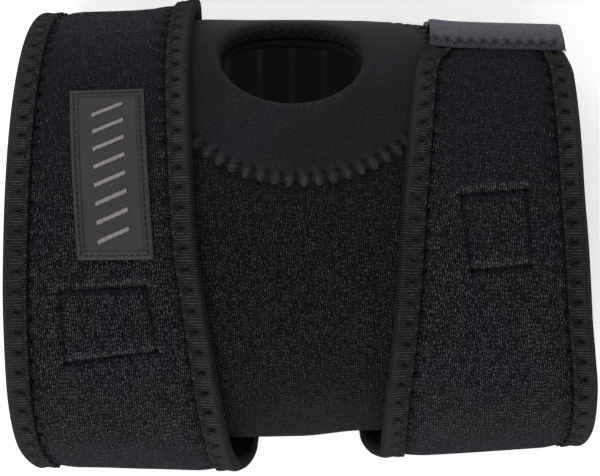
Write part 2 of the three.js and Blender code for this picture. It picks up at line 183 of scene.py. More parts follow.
# Reading the tables
def read(table, column, at):
    stops = np.array([row[0] for row in table], float)
    values = np.array([row[column] for row in table], float)
    width = np.diff(stops)
    slope = np.diff(values) / width
    before, after = slope[:-1], slope[1:]
    bend = np.zeros(len(stops))
    same = before * after > 0
    bend[1:-1][same] = 2 * (before * after)[same] / (before + after)[same]
    bend[0], bend[-1] = slope[0], slope[-1]
    at = np.asarray(at, float)
    i = np.clip(np.searchsorted(stops, at, side="right") - 1, 0, len(stops) - 2)
    t = np.clip((at - stops[i]) / width[i], 0, 1)
    inside = (
        (1 + 2 * t) * (1 - t) ** 2 * values[i]
        + t * (1 - t) ** 2 * width[i] * bend[i]
        + t * t * (3 - 2 * t) * values[i + 1]
        + t * t * (t - 1) * width[i] * bend[i + 1]
    )
    past_low = np.minimum(at - stops[0], 0) * bend[0]
    past_high = np.maximum(at - stops[-1], 0) * bend[-1]
    return inside + past_low + past_high


def smooth(low, high, at):
    t = np.clip((at - low) / (high - low), 0, 1)
    return t * t * (3 - 2 * t)


def hump(away, reach):
    return np.exp(-((away / reach) ** 2))


# The sleeve's lying section, kept at every millimetre along the leg
GRID_LOW, GRID_HIGH = -106, 108
TURN_STEPS = 1440
QUARTER_STEPS = 72


def sag(x):
    away = abs(x - SAG_CENTRE) / SAG_REACH
    return SAG_DEPTH * (1 + math.cos(math.pi * away)) / 2 if away < 1 else 0.0


def quarter(square, start, end, rising):
    steps = np.arange(QUARTER_STEPS) if rising else QUARTER_STEPS - np.arange(QUARTER_STEPS)
    a = steps / QUARTER_STEPS * (math.pi / 2)
    y = start[0] + (end[0] - start[0]) * np.maximum(np.cos(a), 0) ** (2 / square)
    z = start[1] + (end[1] - start[1]) * np.maximum(np.sin(a), 0) ** (2 / square)
    return np.stack([y, z], 1)


def section(x):
    along = x / HALF_LENGTH
    knee = float(read(SLEEVE_FORM, 1, along)) * SLEEVE_WIDTH
    back = float(read(SLEEVE_FORM, 2, along)) * SLEEVE_WIDTH
    top = float(read(SLEEVE_FORM, 3, along)) * SLEEVE_HEIGHT
    crown = -CROWN_SHIFT * SLEEVE_WIDTH
    knee_high = KNEE_FOLD_HIGH * SLEEVE_HEIGHT
    back_high = BACK_FOLD_HIGH * SLEEVE_HEIGHT
    knee_end = KNEE_FLAT * SLEEVE_WIDTH
    back_end = -BACK_FLAT * SLEEVE_WIDTH
    low = -sag(x)
    loop = np.concatenate([
        quarter(CROWN_SQUARE_KNEE, (crown, knee_high), (knee, top), True),
        quarter(CROWN_SQUARE_BACK, (crown, back_high), (-back, top), False),
        quarter(FLOOR_SQUARE, (back_end, back_high), (-back, low), True),
        [[back_end, low]],
        quarter(FLOOR_SQUARE, (knee_end, knee_high), (knee, low), False),
    ])
    ahead = np.roll(loop, -1, 0) - np.roll(loop, 1, 0)
    ahead /= np.linalg.norm(ahead, axis=1)[:, None]
    normal = np.stack([ahead[:, 1], -ahead[:, 0]], 1)
    run = np.linalg.norm(np.roll(loop, -1, 0) - loop, axis=1)
    at = np.concatenate([[0], np.cumsum(run)])
    turns = np.arange(TURN_STEPS) / TURN_STEPS * at[-1]
    rows = np.concatenate([loop, normal], 1)
    rows = np.concatenate([rows, rows[:1]])
    return np.stack([np.interp(turns, at, rows[:, k]) for k in range(4)], 1), at[-1]


SECTIONS = [section(x) for x in range(GRID_LOW, GRID_HIGH + 1)]
SKIN = np.stack([rows for rows, _ in SECTIONS])
ROUND = np.array([length for _, length in SECTIONS])


def length_at(x):
    return np.interp(x, np.arange(GRID_LOW, GRID_HIGH + 1), ROUND)


def turns_of(arc, x):
    return arc / length_at(x)


def off_skin(x, turn, off):
    x, turn, off = np.broadcast_arrays(*[np.asarray(v, float) for v in (x, turn, off)])
    u = np.clip(x - GRID_LOW, 0, GRID_HIGH - GRID_LOW - 1e-6)
    i = u.astype(int)
    fu = (u - i)[..., None]
    v = (turn % 1.0) * TURN_STEPS
    j = v.astype(int) % TURN_STEPS
    k = (j + 1) % TURN_STEPS
    fv = (v - np.floor(v))[..., None]
    row = (SKIN[i, j] * (1 - fv) + SKIN[i, k] * fv) * (1 - fu)
    row = row + (SKIN[i + 1, j] * (1 - fv) + SKIN[i + 1, k] * fv) * fu
    y = row[..., 0] + row[..., 2] * off
    z = row[..., 1] + row[..., 3] * off + SLEEVE_RISE
    return np.stack([x, y, z], -1)


# Straps lie over the sleeve, across from their outer edge
PINCH_REACH = 4.5


class Strap:
    def __init__(self, node, form, edge, side, width, slack, flare, seam_arc, slant, tab, seat, pinch):
        self.node = node
        self.form = form
        self.edge = edge
        self.side = side
        self.width = width
        self.slack = slack
        self.flare = flare
        self.middle = edge + side * width / 2
        self.round = float(length_at(self.middle))
        self.tab = tab
        self.slant = slant / self.round
        self.seam = seam_arc / self.round
        self.start = self.seam - TAB_OVERLAP / self.round
        self.tip = self.seam - tab / self.round
        self.tail = self.tip + TAIL_OVERLAP / self.round + 1
        self.seat = seat
        self.pinch = pinch

    def value(self, column, turn):
        return read(self.form, column, np.asarray(turn, float) % 1.0)

    def wide(self, turn):
        past_seam = np.maximum(np.asarray(turn, float) - self.seam - self.slant / 2, 0) * self.round
        return self.value(WIDE, turn) * self.width - self.pinch * np.exp(-past_seam / PINCH_REACH)

    def seam_turn(self, share):
        return self.seam + self.slant * (share - 0.5)

    def place(self, across, high, turn):
        across, high, turn = np.broadcast_arrays(
            *[np.asarray(v, float) for v in (across, high, turn)]
        )
        pull = self.value(PULL, turn) * self.width
        lift = SNUG + self.value(LIFT, turn) * self.slack
        outward = np.maximum((across - self.wide(turn) + SWELL) / SWELL, 0)
        flare = self.value(FLARE, turn) * self.flare * outward
        x = self.edge + self.side * (pull + across)
        point = off_skin(x, turn, lift + flare + BAND_HALF + high)
        point[..., 2] = np.maximum(point[..., 2], BAND_HALF - high)
        return point


THIGH = Strap(
    node="thigh_strap", form=THIGH_FORM, edge=-HALF_LENGTH - 5.8, side=1, width=80.0, slack=6.4, flare=2.8,
    seam_arc=-15.0, slant=0.0, tab=25.0, seat=THIGH_SEAT, pinch=0.0,
)
CALF = Strap(
    node="calf_strap", form=CALF_FORM, edge=HALF_LENGTH + 11.8, side=-1, width=76.0, slack=4.2, flare=0.0,
    seam_arc=37.5, slant=1.0, tab=74.0, seat=CALF_SEAT, pinch=2.4,
)


# Soft unevenness of a hand-laid cloth, from a few fixed waves
WAVE_COUNT = 9
WAVE_SHORT = 0.7
WAVE_LONG = 1.9


def waves(u, v, seed, size):
    rng = np.random.default_rng(seed)
    total = np.zeros(np.broadcast(u, v).shape)
    for _ in range(WAVE_COUNT):
        heading = rng.uniform(0, TURN)
        length = size * rng.uniform(WAVE_SHORT, WAVE_LONG)
        phase = rng.uniform(0, TURN)
        total = total + np.sin((u * math.cos(heading) + v * math.sin(heading)) * TURN / length + phase)
    return total / WAVE_COUNT


def past_whole(count):
    return count - np.round(count)


def past_half(count):
    return count - 0.5 - np.round(count - 0.5)


# Mesh making
def grid_faces(rows, columns, wrap_rows, wrap_columns, flip):
    last_row = rows if wrap_rows else rows - 1
    last_column = columns if wrap_columns else columns - 1
    i, j = np.meshgrid(np.arange(last_row), np.arange(last_column), indexing="ij")
    i, j = i.ravel(), j.ravel()
    corners = [(i, j), (i + 1, j), (i + 1, j + 1), (i, j + 1)]
    if flip:
        corners = corners[::-1]
    faces = np.stack([(a % rows) * columns + (b % columns) for a, b in corners], 1)
    return faces, corners


def grid_mesh(points, cloth, wrap_rows=False, wrap_columns=False, flip=False):
    """Points by rows and columns. The cloth maps are one longer on each side that wraps."""
    rows, columns = points.shape[:2]
    faces, corners = grid_faces(rows, columns, wrap_rows, wrap_columns, flip)
    uv = np.stack([cloth[a, b] for a, b in corners], 1)
    return points.reshape(-1, 3), faces.tolist(), uv.reshape(-1, cloth.shape[-1])


def cap(points, row, columns, cloth, flip):
    ring = [row * columns + j for j in range(columns)]
    if flip:
        ring = ring[::-1]
    spot = np.repeat(cloth[None, :], columns, 0)
    return [ring], spot


def join(parts):
    points, faces, uvs = [], [], []
    base = 0
    for part in parts:
        p, f, uv = part
        points.append(p)
        faces += [[i + base for i in face] for face in f]
        uvs.append(uv)
        base += len(p)
    return np.concatenate(points), faces, np.concatenate(uvs)


def make_piece(name, mesh_data, materials, stands_for=(), more_maps=()):
    points, faces, uv = mesh_data[:3]
    marks = mesh_data[3] if len(mesh_data) > 3 else None
    placed = (points + SHIFT) * MM
    placed[:, 2] = np.maximum(placed[:, 2], 0)
    mesh = bpy.data.meshes.new(name)
    mesh.from_pydata(placed.tolist(), [], faces)
    uv = np.asarray(uv, np.float32)
    for k, map_name in enumerate(("cloth",) + tuple(more_maps)):
        layer = mesh.uv_layers.new(name=map_name)
        layer.data.foreach_set("uv", uv[:, 2 * k:2 * k + 2].ravel())
    for material in materials:
        mesh.materials.append(material)
    if marks is not None and max(marks) > 0:
        mesh.polygons.foreach_set("material_index", marks)
    mesh.polygons.foreach_set("use_smooth", [True] * len(mesh.polygons))
    mesh.update()
    piece = bpy.data.objects.new(name, mesh)
    bpy.context.scene.collection.objects.link(piece)
    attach(piece, BODY)
    if stands_for:
        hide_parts(*stands_for)
    return piece


# Nodes
FLOAT, VECTOR = "NodeSocketFloat", "NodeSocketVector"
NODE_ACROSS = 170
NODE_DOWN = 40
NODE_ROWS = 9

# Nearly all of a noise's values lie between these
NOISE_LOW = 0.3
NOISE_HIGH = 0.7


def socket(group, name, way, kind, value=None):
    made = group.interface.new_socket(name=name, in_out=way, socket_type=kind)
    if value is not None:
        made.default_value = value


class NodeNet:
    """Places nodes in one tree, with plain values or links as inputs."""

    def __init__(self, tree):
        self.tree = tree
        self.column = 0

    def node(self, kind, *inputs, **settings):
        made = self.tree.nodes.new(kind)
        self.column += 1
        made.location = (NODE_ACROSS * self.column, -NODE_DOWN * (self.column % NODE_ROWS))
        for key, value in settings.items():
            setattr(made, key, value)
        for index, value in enumerate(inputs):
            self.feed(made, index, value)
        return made

    def feed(self, made, key, value):
        if isinstance(value, bpy.types.NodeSocket):
            self.tree.links.new(value, made.inputs[key])
        else:
            made.inputs[key].default_value = value

    def math(self, operation, *inputs, clamp=False):
        return self.node("ShaderNodeMath", *inputs, operation=operation, use_clamp=clamp).outputs[0]

    def times(self, one, other, clamp=False):
        return self.math("MULTIPLY", one, other, clamp=clamp)

    def plus(self, one, other, clamp=False):
        return self.math("ADD", one, other, clamp=clamp)

    def minus(self, one, other):
        return self.math("SUBTRACT", one, other)

    def over(self, one, other):
        return self.math("DIVIDE", one, other)

    def power(self, value, exponent, clamp=False):
        return self.math("POWER", value, exponent, clamp=clamp)

    def bell(self, value, reach):
        """1 where the value is 0, fading out past the reach on either side."""
        share = self.over(value, reach)
        return self.math("EXPONENT", self.times(self.times(share, share), -1.0))

    def wave(self, phase):
        """From 0 to 1 and back for each whole step of the phase."""
        return self.math("MULTIPLY_ADD", self.math("SINE", self.times(phase, TURN)), 0.5, 0.5)

    def from_whole(self, value):
        """How far the value is past the nearest whole number."""
        return self.minus(value, self.math("ROUND", value))

    def centred(self, value):
        return self.minus(value, 0.5)

    def parts(self, vector):
        return self.node("ShaderNodeSeparateXYZ", vector).outputs

    def noise(self, place, scale, detail=2.0, roughness=0.5):
        made = self.node("ShaderNodeTexNoise", place, noise_dimensions="2D")
        self.feed(made, "Scale", scale)
        self.feed(made, "Detail", detail)
        self.feed(made, "Roughness", roughness)
        return made.outputs[0]

    def mix(self, share, low, high):
        made = self.node("ShaderNodeMix", data_type="RGBA")
        self.feed(made, 0, share)
        self.feed(made, 6, low)
        self.feed(made, 7, high)
        return made.outputs[2]

    def darken(self, base, mask, share):
        return self.mix(self.times(mask, share), base, BLACK)

    def mix_value(self, share, low, high):
        made = self.node("ShaderNodeMix", data_type="FLOAT")
        self.feed(made, 0, share)
        self.feed(made, 2, low)
        self.feed(made, 3, high)
        return made.outputs[0]

    def remap(self, value, low, high, to_low, to_high):
        return self.node("ShaderNodeMapRange", value, low, high, to_low, to_high).outputs[0]

    def spread(self, noise, low, high):
        return self.remap(noise, NOISE_LOW, NOISE_HIGH, low, high)


def new_group(name, inputs, outputs):
    group = bpy.data.node_groups.new(name, "ShaderNodeTree")
    for label, kind, value in inputs:
        socket(group, label, "INPUT", kind, value)
    for label in outputs:
        socket(group, label, "OUTPUT", FLOAT)
    net = NodeNet(group)
    return group, net, net.node("NodeGroupInput").outputs, net.node("NodeGroupOutput")


# Loop knit: the drift of its columns and rows, and how a loop's tone rises to its crest, a painted shade
# that darkens the gaps between loops
KNIT_DRIFT_SCALE = 0.22
COLUMN_DRIFT = 3.0
ROW_DRIFT = 2.0
COLUMN_FALL = 4.0
ROW_FALL = 3.0
STREAK_DETAIL = 3.0
STREAK_ROUGHNESS = 0.7
STREAK_LOW, STREAK_HIGH, STREAK_GAIN = 0.34, 0.68, 1.7
BEAD_FLOOR, BEAD_GAIN, BEAD_POWER = 0.05, 2.1, 1.3
CREST_FLOOR, CREST_GAIN, CREST_POWER = 0.1, 1.75, 1.8
HEAD_FLOOR, HEAD_GAIN = 0.12, 1.35
GLINT_RARITY, GLINT_RISE = 14.0, 3.0


def make_knit_group():
    """Columns of small loops with broken streaks of light along them."""
    group, net, given, out = new_group(
        "knit_loops",
        [
            ("Cloth", VECTOR, None), ("Wale", FLOAT, 0.8), ("Course", FLOAT, 1.1),
            ("Uneven", FLOAT, 0.3), ("Streak", FLOAT, 0.5), ("Across", FLOAT, 1.35), ("Along", FLOAT, 0.5),
        ],
        ["Height", "Tone", "Glint"],
    )
    cloth = net.parts(given["Cloth"])
    drift = net.times(net.centred(net.noise(given["Cloth"], KNIT_DRIFT_SCALE)), given["Uneven"])
    u = net.plus(net.over(cloth[0], given["Wale"]), net.times(drift, COLUMN_DRIFT))
    column = net.math("FLOOR", u)
    shift = net.node("ShaderNodeTexWhiteNoise", noise_dimensions="1D")
    net.feed(shift, "W", column)
    v = net.plus(net.over(cloth[1], given["Course"]), net.times(shift.outputs[0], given["Uneven"]))
    v = net.plus(v, net.times(drift, ROW_DRIFT))
    du = net.centred(net.math("FRACT", u))
    dv = net.centred(net.math("FRACT", v))
    cell = net.node("ShaderNodeCombineXYZ", column, net.math("FLOOR", v), 0.0).outputs[0]
    bead = net.node("ShaderNodeTexWhiteNoise", cell, noise_dimensions="2D").outputs[0]
    wale = net.minus(1.0, net.times(net.times(du, du), COLUMN_FALL))
    loop = net.minus(1.0, net.times(net.times(dv, dv), ROW_FALL))
    height = net.times(wale, loop, clamp=True)
    stretched = net.node(
        "ShaderNodeCombineXYZ", net.times(cloth[0], given["Across"]),
        net.times(cloth[1], given["Along"]), 0.0,
    ).outputs[0]
    streak = net.noise(stretched, 1.0, STREAK_DETAIL, STREAK_ROUGHNESS)
    streak_tone = net.remap(streak, STREAK_LOW, STREAK_HIGH, 0.0, STREAK_GAIN)
    bead_tone = net.plus(BEAD_FLOOR, net.times(net.power(bead, BEAD_POWER), BEAD_GAIN))
    tone = net.mix_value(given["Streak"], bead_tone, streak_tone)
    # The tone falls off each loop's crest: painted shade in the gaps between loops
    crest = net.power(net.times(wale, 1.0, clamp=True), CREST_POWER)
    tone = net.times(tone, net.plus(CREST_FLOOR, net.times(crest, CREST_GAIN)))
    tone = net.times(tone, net.plus(HEAD_FLOOR, net.times(net.times(loop, loop), HEAD_GAIN)))
    net.feed(out, 0, height)
    net.feed(out, 1, tone)
    net.feed(out, 2, net.times(net.power(bead, GLINT_RARITY), net.power(height, GLINT_RISE)))
    return group


# Edge tape ribs: their drift, their pinch at each stitch, and the stretched spots of paler yarn, which the
# tape shows as painted glints
RIB_DRIFT_SCALE = 0.35
RIB_DRIFT = 0.16
RIB_PINCH = 0.32
RIB_PINCH_REACH = 2.5
YARN_ACROSS = 0.5
YARN_ALONG = 1.1
YARN_LOW, YARN_HIGH = 0.35, 0.68


def make_rib_group():
    """Fine cords across a tape, a little uneven, with some paler yarns, which the tape shows as painted
    glints.
    """
    group, net, given, out = new_group(
        "tape_ribs",
        [("Cloth", VECTOR, None), ("Edge", VECTOR, None), ("Pitch", FLOAT, 0.8)],
        ["Height", "Yarn"],
    )
    cloth = net.parts(given["Cloth"])
    edge = net.parts(given["Edge"])
    pinch = net.math("SINE", net.times(edge[1], TURN))
    pinch = net.times(pinch, net.bell(net.minus(edge[0], BINDING_IN), RIB_PINCH_REACH))
    drift = net.times(net.centred(net.noise(given["Cloth"], RIB_DRIFT_SCALE)), RIB_DRIFT)
    drift = net.plus(drift, net.times(pinch, RIB_PINCH))
    v = net.plus(net.over(cloth[1], given["Pitch"]), drift)
    spot = net.node(
        "ShaderNodeCombineXYZ", net.times(cloth[0], YARN_ACROSS), net.times(v, YARN_ALONG), 0.0,
    ).outputs[0]
    net.feed(out, 0, net.wave(v))
    net.feed(out, 1, net.remap(net.noise(spot, 1.0), YARN_LOW, YARN_HIGH, 0.0, 1.0))
    return group


# Hook tab twill
TWILL_DRIFT_SCALE = 0.35
TWILL_DRIFT = 0.7
TWILL_SLOPE = 1.1
NAP_SCALE = 0.9
NAP_DETAIL = 4.0


def make_twill_group():
    """Slanted twill lines with a short brushed nap over them."""
    group, net, given, out = new_group(
        "tab_twill", [("Cloth", VECTOR, None), ("Pitch", FLOAT, 1.4)], ["Height", "Nap"],
    )
    cloth = net.parts(given["Cloth"])
    drift = net.times(net.centred(net.noise(given["Cloth"], TWILL_DRIFT_SCALE)), TWILL_DRIFT)
    slope = net.minus(cloth[1], net.times(cloth[0], TWILL_SLOPE))
    net.feed(out, 0, net.wave(net.plus(net.over(slope, given["Pitch"]), drift)))
    net.feed(out, 1, net.noise(given["Cloth"], NAP_SCALE, NAP_DETAIL))
    return group


# Wear
FADE_SCALE = 0.045
FADE_DETAIL = 3.0
FUZZ_SCALE = 1.1
FUZZ_DETAIL = 5.0
FUZZ_ROUGHNESS = 0.6
LINT_SCALE = 0.16
LINT_RARITY = 0.993


def make_wear_group():
    """Broad fading, fine fuzz and a few pale flecks of lint."""
    group, net, given, out = new_group(
        "cloth_wear", [("Cloth", VECTOR, None), ("Fleck", FLOAT, 0.06)], ["Fade", "Fuzz", "Lint"],
    )
    spots = net.node("ShaderNodeTexVoronoi", given["Cloth"], voronoi_dimensions="2D")
    net.feed(spots, "Scale", LINT_SCALE)
    pick = net.node("ShaderNodeSeparateColor", spots.outputs["Color"]).outputs[0]
    rare = net.math("GREATER_THAN", pick, LINT_RARITY)
    near = net.math("LESS_THAN", spots.outputs["Distance"], given["Fleck"])
    net.feed(out, 0, net.noise(given["Cloth"], FADE_SCALE, FADE_DETAIL))
    net.feed(out, 1, net.noise(given["Cloth"], FUZZ_SCALE, FUZZ_DETAIL, FUZZ_ROUGHNESS))
    net.feed(out, 2, net.times(rare, near))
    return group


def make_stitch_group():
    """Needle holes in a row. The edge map holds the distance from an edge and a count of stitches."""
    group, net, given, out = new_group(
        "stitch_holes",
        [
            ("Edge", VECTOR, None), ("Place", FLOAT, 4.0), ("Pitch", FLOAT, 6.0),
            ("Phase", FLOAT, 0.0), ("Size", FLOAT, 1.0), ("Fold", FLOAT, 2.5),
        ],
        ["Hole", "Pucker"],
    )
    edge = net.parts(given["Edge"])
    count = net.plus(edge[1], given["Phase"])
    along = net.times(net.from_whole(count), given["Pitch"])
    out_by = net.minus(edge[0], given["Place"])
    away = net.math("SQRT", net.plus(net.times(along, along), net.times(out_by, out_by)))
    crease = net.math("COSINE", net.times(count, TURN))
    net.feed(out, 0, net.bell(away, given["Size"]))
    net.feed(out, 1, net.times(crease, net.bell(out_by, given["Fold"])))
    return group


KNIT_GROUP = make_knit_group()
RIB_GROUP = make_rib_group()
TWILL_GROUP = make_twill_group()
WEAR_GROUP = make_wear_group()
STITCH_GROUP = make_stitch_group()


# Materials
def colour(red, green, blue):
    return (red, green, blue, 1.0)


def grey(level):
    return colour(level, level, level)


BLACK = colour(0.0008, 0.0008, 0.0009)
# Painted highlight for the raised lobes of seam folds
FOLD_HIGHLIGHT = colour(0.04, 0.04, 0.041)


def start_material(name):
    material = bpy.data.materials.new(name)
    material.use_nodes = True
    net = NodeNet(material.node_tree)
    shader = material.node_tree.nodes["Principled BSDF"]
    return material, net, shader, read_map(net, "cloth")


def read_map(net, name):
    return net.node("ShaderNodeUVMap", uv_map=name).outputs[0]


def place_group(net, group, **values):
    made = net.node("ShaderNodeGroup", node_tree=group)
    for key, value in values.items():
        net.feed(made, key, value)
    return made.outputs


def bump(net, shader, height, strength, depth):
    """Depth is in millimetres."""
    made = net.node("ShaderNodeBump")
    net.feed(made, "Height", height)
    net.feed(made, "Strength", strength)
    net.feed(made, "Distance", depth * MM)
    net.feed(shader, "Normal", made.outputs[0])


def set_gloss(shader, roughness, specular, sheen=0.0, sheen_roughness=0.5, tint=(1.0, 1.0, 1.0, 1.0)):
    shader.inputs["Roughness"].default_value = roughness
    shader.inputs["Specular IOR Level"].default_value = specular
    shader.inputs["Sheen Weight"].default_value = sheen
    shader.inputs["Sheen Roughness"].default_value = sheen_roughness
    shader.inputs["Sheen Tint"].default_value = tint


# Where painted shade starts on cloth, and lies in full, as it turns off level
SHADE_FLANK_STARTS = 0.95
SHADE_FLANK_FULL = 0.3

# The same as it turns to the side of the knee, where the painted shade goes up to a lesser share
KNEE_SHADE_STARTS = 0.05
KNEE_SHADE_FULL = 0.5
KNEE_SHADE_MOST = 0.7


def facing(net):
    return net.parts(net.node("ShaderNodeNewGeometry").outputs["Normal"])


def find_shaded_flank(net):
    return net.remap(facing(net)[2], SHADE_FLANK_STARTS, SHADE_FLANK_FULL, 0.0, 1.0)


def find_shaded_knee_side(net):
    return net.remap(facing(net)[1], KNEE_SHADE_STARTS, KNEE_SHADE_FULL, 0.0, KNEE_SHADE_MOST)


# Loop knit: uneven columns, gloss, the painted glint, how deep its fuzz, folds and needle holes are, and
# the painted shade in the holes
LOOP_UNEVEN = 0.75
LOOP_CONTRAST = 2.0
LOOP_GLOSS = colour(0.86, 0.76, 1.0)
LOOP_SHINE = 0.3
LOOP_FUZZ_HIGH = 0.35
LOOP_FOLD_HIGH = 0.7
LOOP_HOLE_DEEP = 2.2
LOOP_HOLE_DARK = 0.92

# Under the painted flank shade, loops keep this share of their tone, over an even ground, and of their
# height
SHADED_FLANK_TONE = 0.3
SHADED_FLANK_GROUND = 0.13
SHADED_FLANK_HIGH = 0.45

# Stitched box: painted shade in its slits and, fainter, along its sides, a painted highlight on the brow
# above each slit, all a little ragged
SLIT_REACH = 0.52
SLIT_SHADE = 0.88
SIDE_REACH = 0.7
SIDE_SHADE = 0.72
BROW_ABOVE = 1.7
BROW_REACH = 1.2
BROW_HIGHLIGHT = 0.2
BOX_RAGGED = 1.6

# Shade where the band goes under its tape
TAPE_SHADE_OFF = 0.1
TAPE_SHADE_REACH = 0.65
TAPE_SHADE_DARK = 0.8


def draw_box(net, base, glint, wear, tone):
    slit = net.parts(read_map(net, "box"))
    ragged = net.times(net.centred(wear["Fuzz"]), BOX_RAGGED)
    # Painted highlight on the brow above each slit, then painted shade in the slits and along the sides
    brow = net.times(net.bell(net.plus(slit[0], BROW_ABOVE), BROW_REACH), tone)
    base = net.mix(net.times(brow, BROW_HIGHLIGHT, clamp=True), base, glint)
    base = net.darken(base, net.bell(net.plus(slit[0], ragged), SLIT_REACH), SLIT_SHADE)
    return net.darken(base, net.bell(net.plus(slit[1], ragged), SIDE_REACH), SIDE_SHADE)


def make_loop_knit(name, wale, course, streak, grain, deep, lit, other, flank_shade_colour, glint, hole, boxed):
    """Nylon loop cloth: paler loop heads over a ground darkened by painted shade, a painted glint on some
    of them, and painted shade on its flanks.
    """
    material, net, shader, cloth = start_material(name)
    knit = place_group(
        net, KNIT_GROUP, Cloth=cloth, Wale=wale, Course=course, Uneven=LOOP_UNEVEN, Streak=streak,
        Across=grain[0], Along=grain[1],
    )
    wear = place_group(net, WEAR_GROUP, Cloth=cloth, Fleck=0.04)
    marks = place_group(net, STITCH_GROUP, Edge=read_map(net, "edge"), **hole)
    # Painted shade on the steep flanks and on the knee side: a darker purple hue, less contrast and lower
    # loops
    flank_shade = net.math("MAXIMUM", find_shaded_flank(net), find_shaded_knee_side(net))
    head = net.mix(net.remap(wear["Fade"], 0.4, 0.6, 0.0, 1.0), lit, other)
    head = net.mix(flank_shade, head, flank_shade_colour)
    share = net.times(knit["Tone"], net.spread(wear["Fuzz"], 0.35, 0.65))
    share = net.power(share, LOOP_CONTRAST, clamp=True)
    even = net.plus(net.times(share, SHADED_FLANK_TONE), SHADED_FLANK_GROUND)
    share = net.plus(share, net.times(flank_shade, net.minus(even, share)), clamp=True)
    base = net.mix(share, deep, head)
    # Painted glint on some loop heads
    base = net.mix(net.times(knit["Glint"], LOOP_SHINE, clamp=True), base, glint)
    base = net.mix(wear["Lint"], base, grey(0.3))
    # Painted shade in the needle holes
    base = net.darken(base, marks["Hole"], LOOP_HOLE_DARK)
    if boxed:
        base = draw_box(net, base, glint, wear, knit["Tone"])
        margin = net.minus(net.parts(read_map(net, "edge"))[0], TAPE_COVER + TAPE_SHADE_OFF)
        base = net.darken(base, net.bell(margin, TAPE_SHADE_REACH), TAPE_SHADE_DARK)
    height = net.plus(knit["Height"], net.times(wear["Fuzz"], LOOP_FUZZ_HIGH))
    height = net.plus(height, net.times(marks["Pucker"], LOOP_FOLD_HIGH))
    height = net.times(height, net.remap(flank_shade, 0.0, 1.0, 1.0, SHADED_FLANK_HIGH))
    height = net.minus(height, net.times(marks["Hole"], LOOP_HOLE_DEEP))
    rough = net.remap(knit["Height"], 0.2, 0.9, 0.85, 0.36)
    rough = net.plus(rough, net.times(flank_shade, net.minus(1.0, rough)))
    net.feed(shader, "Base Color", base)
    bump(net, shader, height, strength=1.0, depth=0.8)
    set_gloss(shader, roughness=0.5, specular=0.13)
    net.feed(shader, "Roughness", rough)
    shader.inputs["Specular Tint"].default_value = LOOP_GLOSS
    return material


# Smooth jersey: how deep its grain, folds and needle holes are, and how its folds are painted: shade in
# their valleys, a highlight on their lobes, shade in the needle holes and down into the hole below the rim
JERSEY_FUZZ_HIGH = 1.6
JERSEY_FOLD_DEEP = 1.6
JERSEY_FOLD_SHADE = 0.55
JERSEY_FOLD_HIGHLIGHT = 0.6
JERSEY_HOLE_DEEP = 3.0
JERSEY_HOLE_DARK = 0.95
RIM_SHADE_DARK = 0.75


def make_smooth_knit(name, deep, lit, other, marks):
    """Close jersey over foam: almost flat, with a fine grain and two hues."""
    material, net, shader, cloth = start_material(name)
    knit = place_group(net, KNIT_GROUP, Cloth=cloth, Wale=0.45, Course=0.45, Uneven=0.6, Streak=0.3)
    wear = place_group(net, WEAR_GROUP, Cloth=cloth, Fleck=0.02)
    share = net.times(knit["Tone"], net.remap(wear["Fuzz"], 0.34, 0.66, 0.0, 1.6), clamp=True)
    share = net.times(share, net.remap(wear["Fade"], 0.35, 0.65, 0.75, 1.2), clamp=True)
    base = net.mix(share, deep, net.mix(net.remap(wear["Fade"], 0.45, 0.6, 0.0, 1.0), lit, other))
    base = net.mix(wear["Lint"], base, grey(0.3))
    height = net.plus(knit["Height"], net.times(wear["Fuzz"], JERSEY_FUZZ_HIGH))
    for map_name, pucker, values in marks:
        mark = place_group(net, STITCH_GROUP, Edge=read_map(net, map_name), **values)
        valley = net.times(mark["Pucker"], pucker)
        rough = net.times(valley, net.remap(wear["Fuzz"], 0.35, 0.65, 0.3, 1.7))
        # Painted shade in the fold valleys and a painted highlight on their lobes, then painted shade in
        # the needle holes
        base = net.mix(net.times(valley, JERSEY_FOLD_SHADE, clamp=True), base, BLACK)
        base = net.mix(net.times(rough, -JERSEY_FOLD_HIGHLIGHT, clamp=True), base, FOLD_HIGHLIGHT)
        base = net.darken(base, mark["Hole"], JERSEY_HOLE_DARK)
        height = net.minus(height, net.times(valley, JERSEY_FOLD_DEEP))
        height = net.minus(height, net.times(mark["Hole"], JERSEY_HOLE_DEEP))
    if marks:
        below_rim = net.parts(read_map(net, "rim"))[0]
        base = net.mix(net.remap(below_rim, 1.0, 5.0, 0.0, RIM_SHADE_DARK), base, BLACK)
    net.feed(shader, "Base Color", base)
    bump(net, shader, height, strength=0.6, depth=0.25)
    set_gloss(shader, 0.7, 0.08, sheen=0.015, sheen_roughness=0.5, tint=colour(0.85, 0.85, 0.88))
    return material


# Lining: how wide and how bright the painted highlight along each rib's crest is
CREST_REACH = 0.07906
CREST_HIGHLIGHT = 0.85
LINING_FUZZ = 0.3


def make_lining(name, deep, lit):
    """Inner jersey, with a painted highlight along the ribs' crests."""
    material, net, shader, cloth = start_material(name)
    wear = place_group(net, WEAR_GROUP, Cloth=cloth, Fleck=0.0)
    place = net.over(net.minus(net.parts(cloth)[0], HOLE_OFF_AXIS), RIB_PITCH)
    # Painted highlight along each rib's crest
    crest = net.bell(net.from_whole(place), CREST_REACH)
    share = net.plus(net.times(crest, CREST_HIGHLIGHT), net.times(wear["Fuzz"], LINING_FUZZ), clamp=True)
    net.feed(shader, "Base Color", net.mix(share, deep, lit))
    bump(net, shader, wear["Fuzz"], strength=0.5, depth=0.2)
    set_gloss(shader, 0.8, 0.05)
    return material


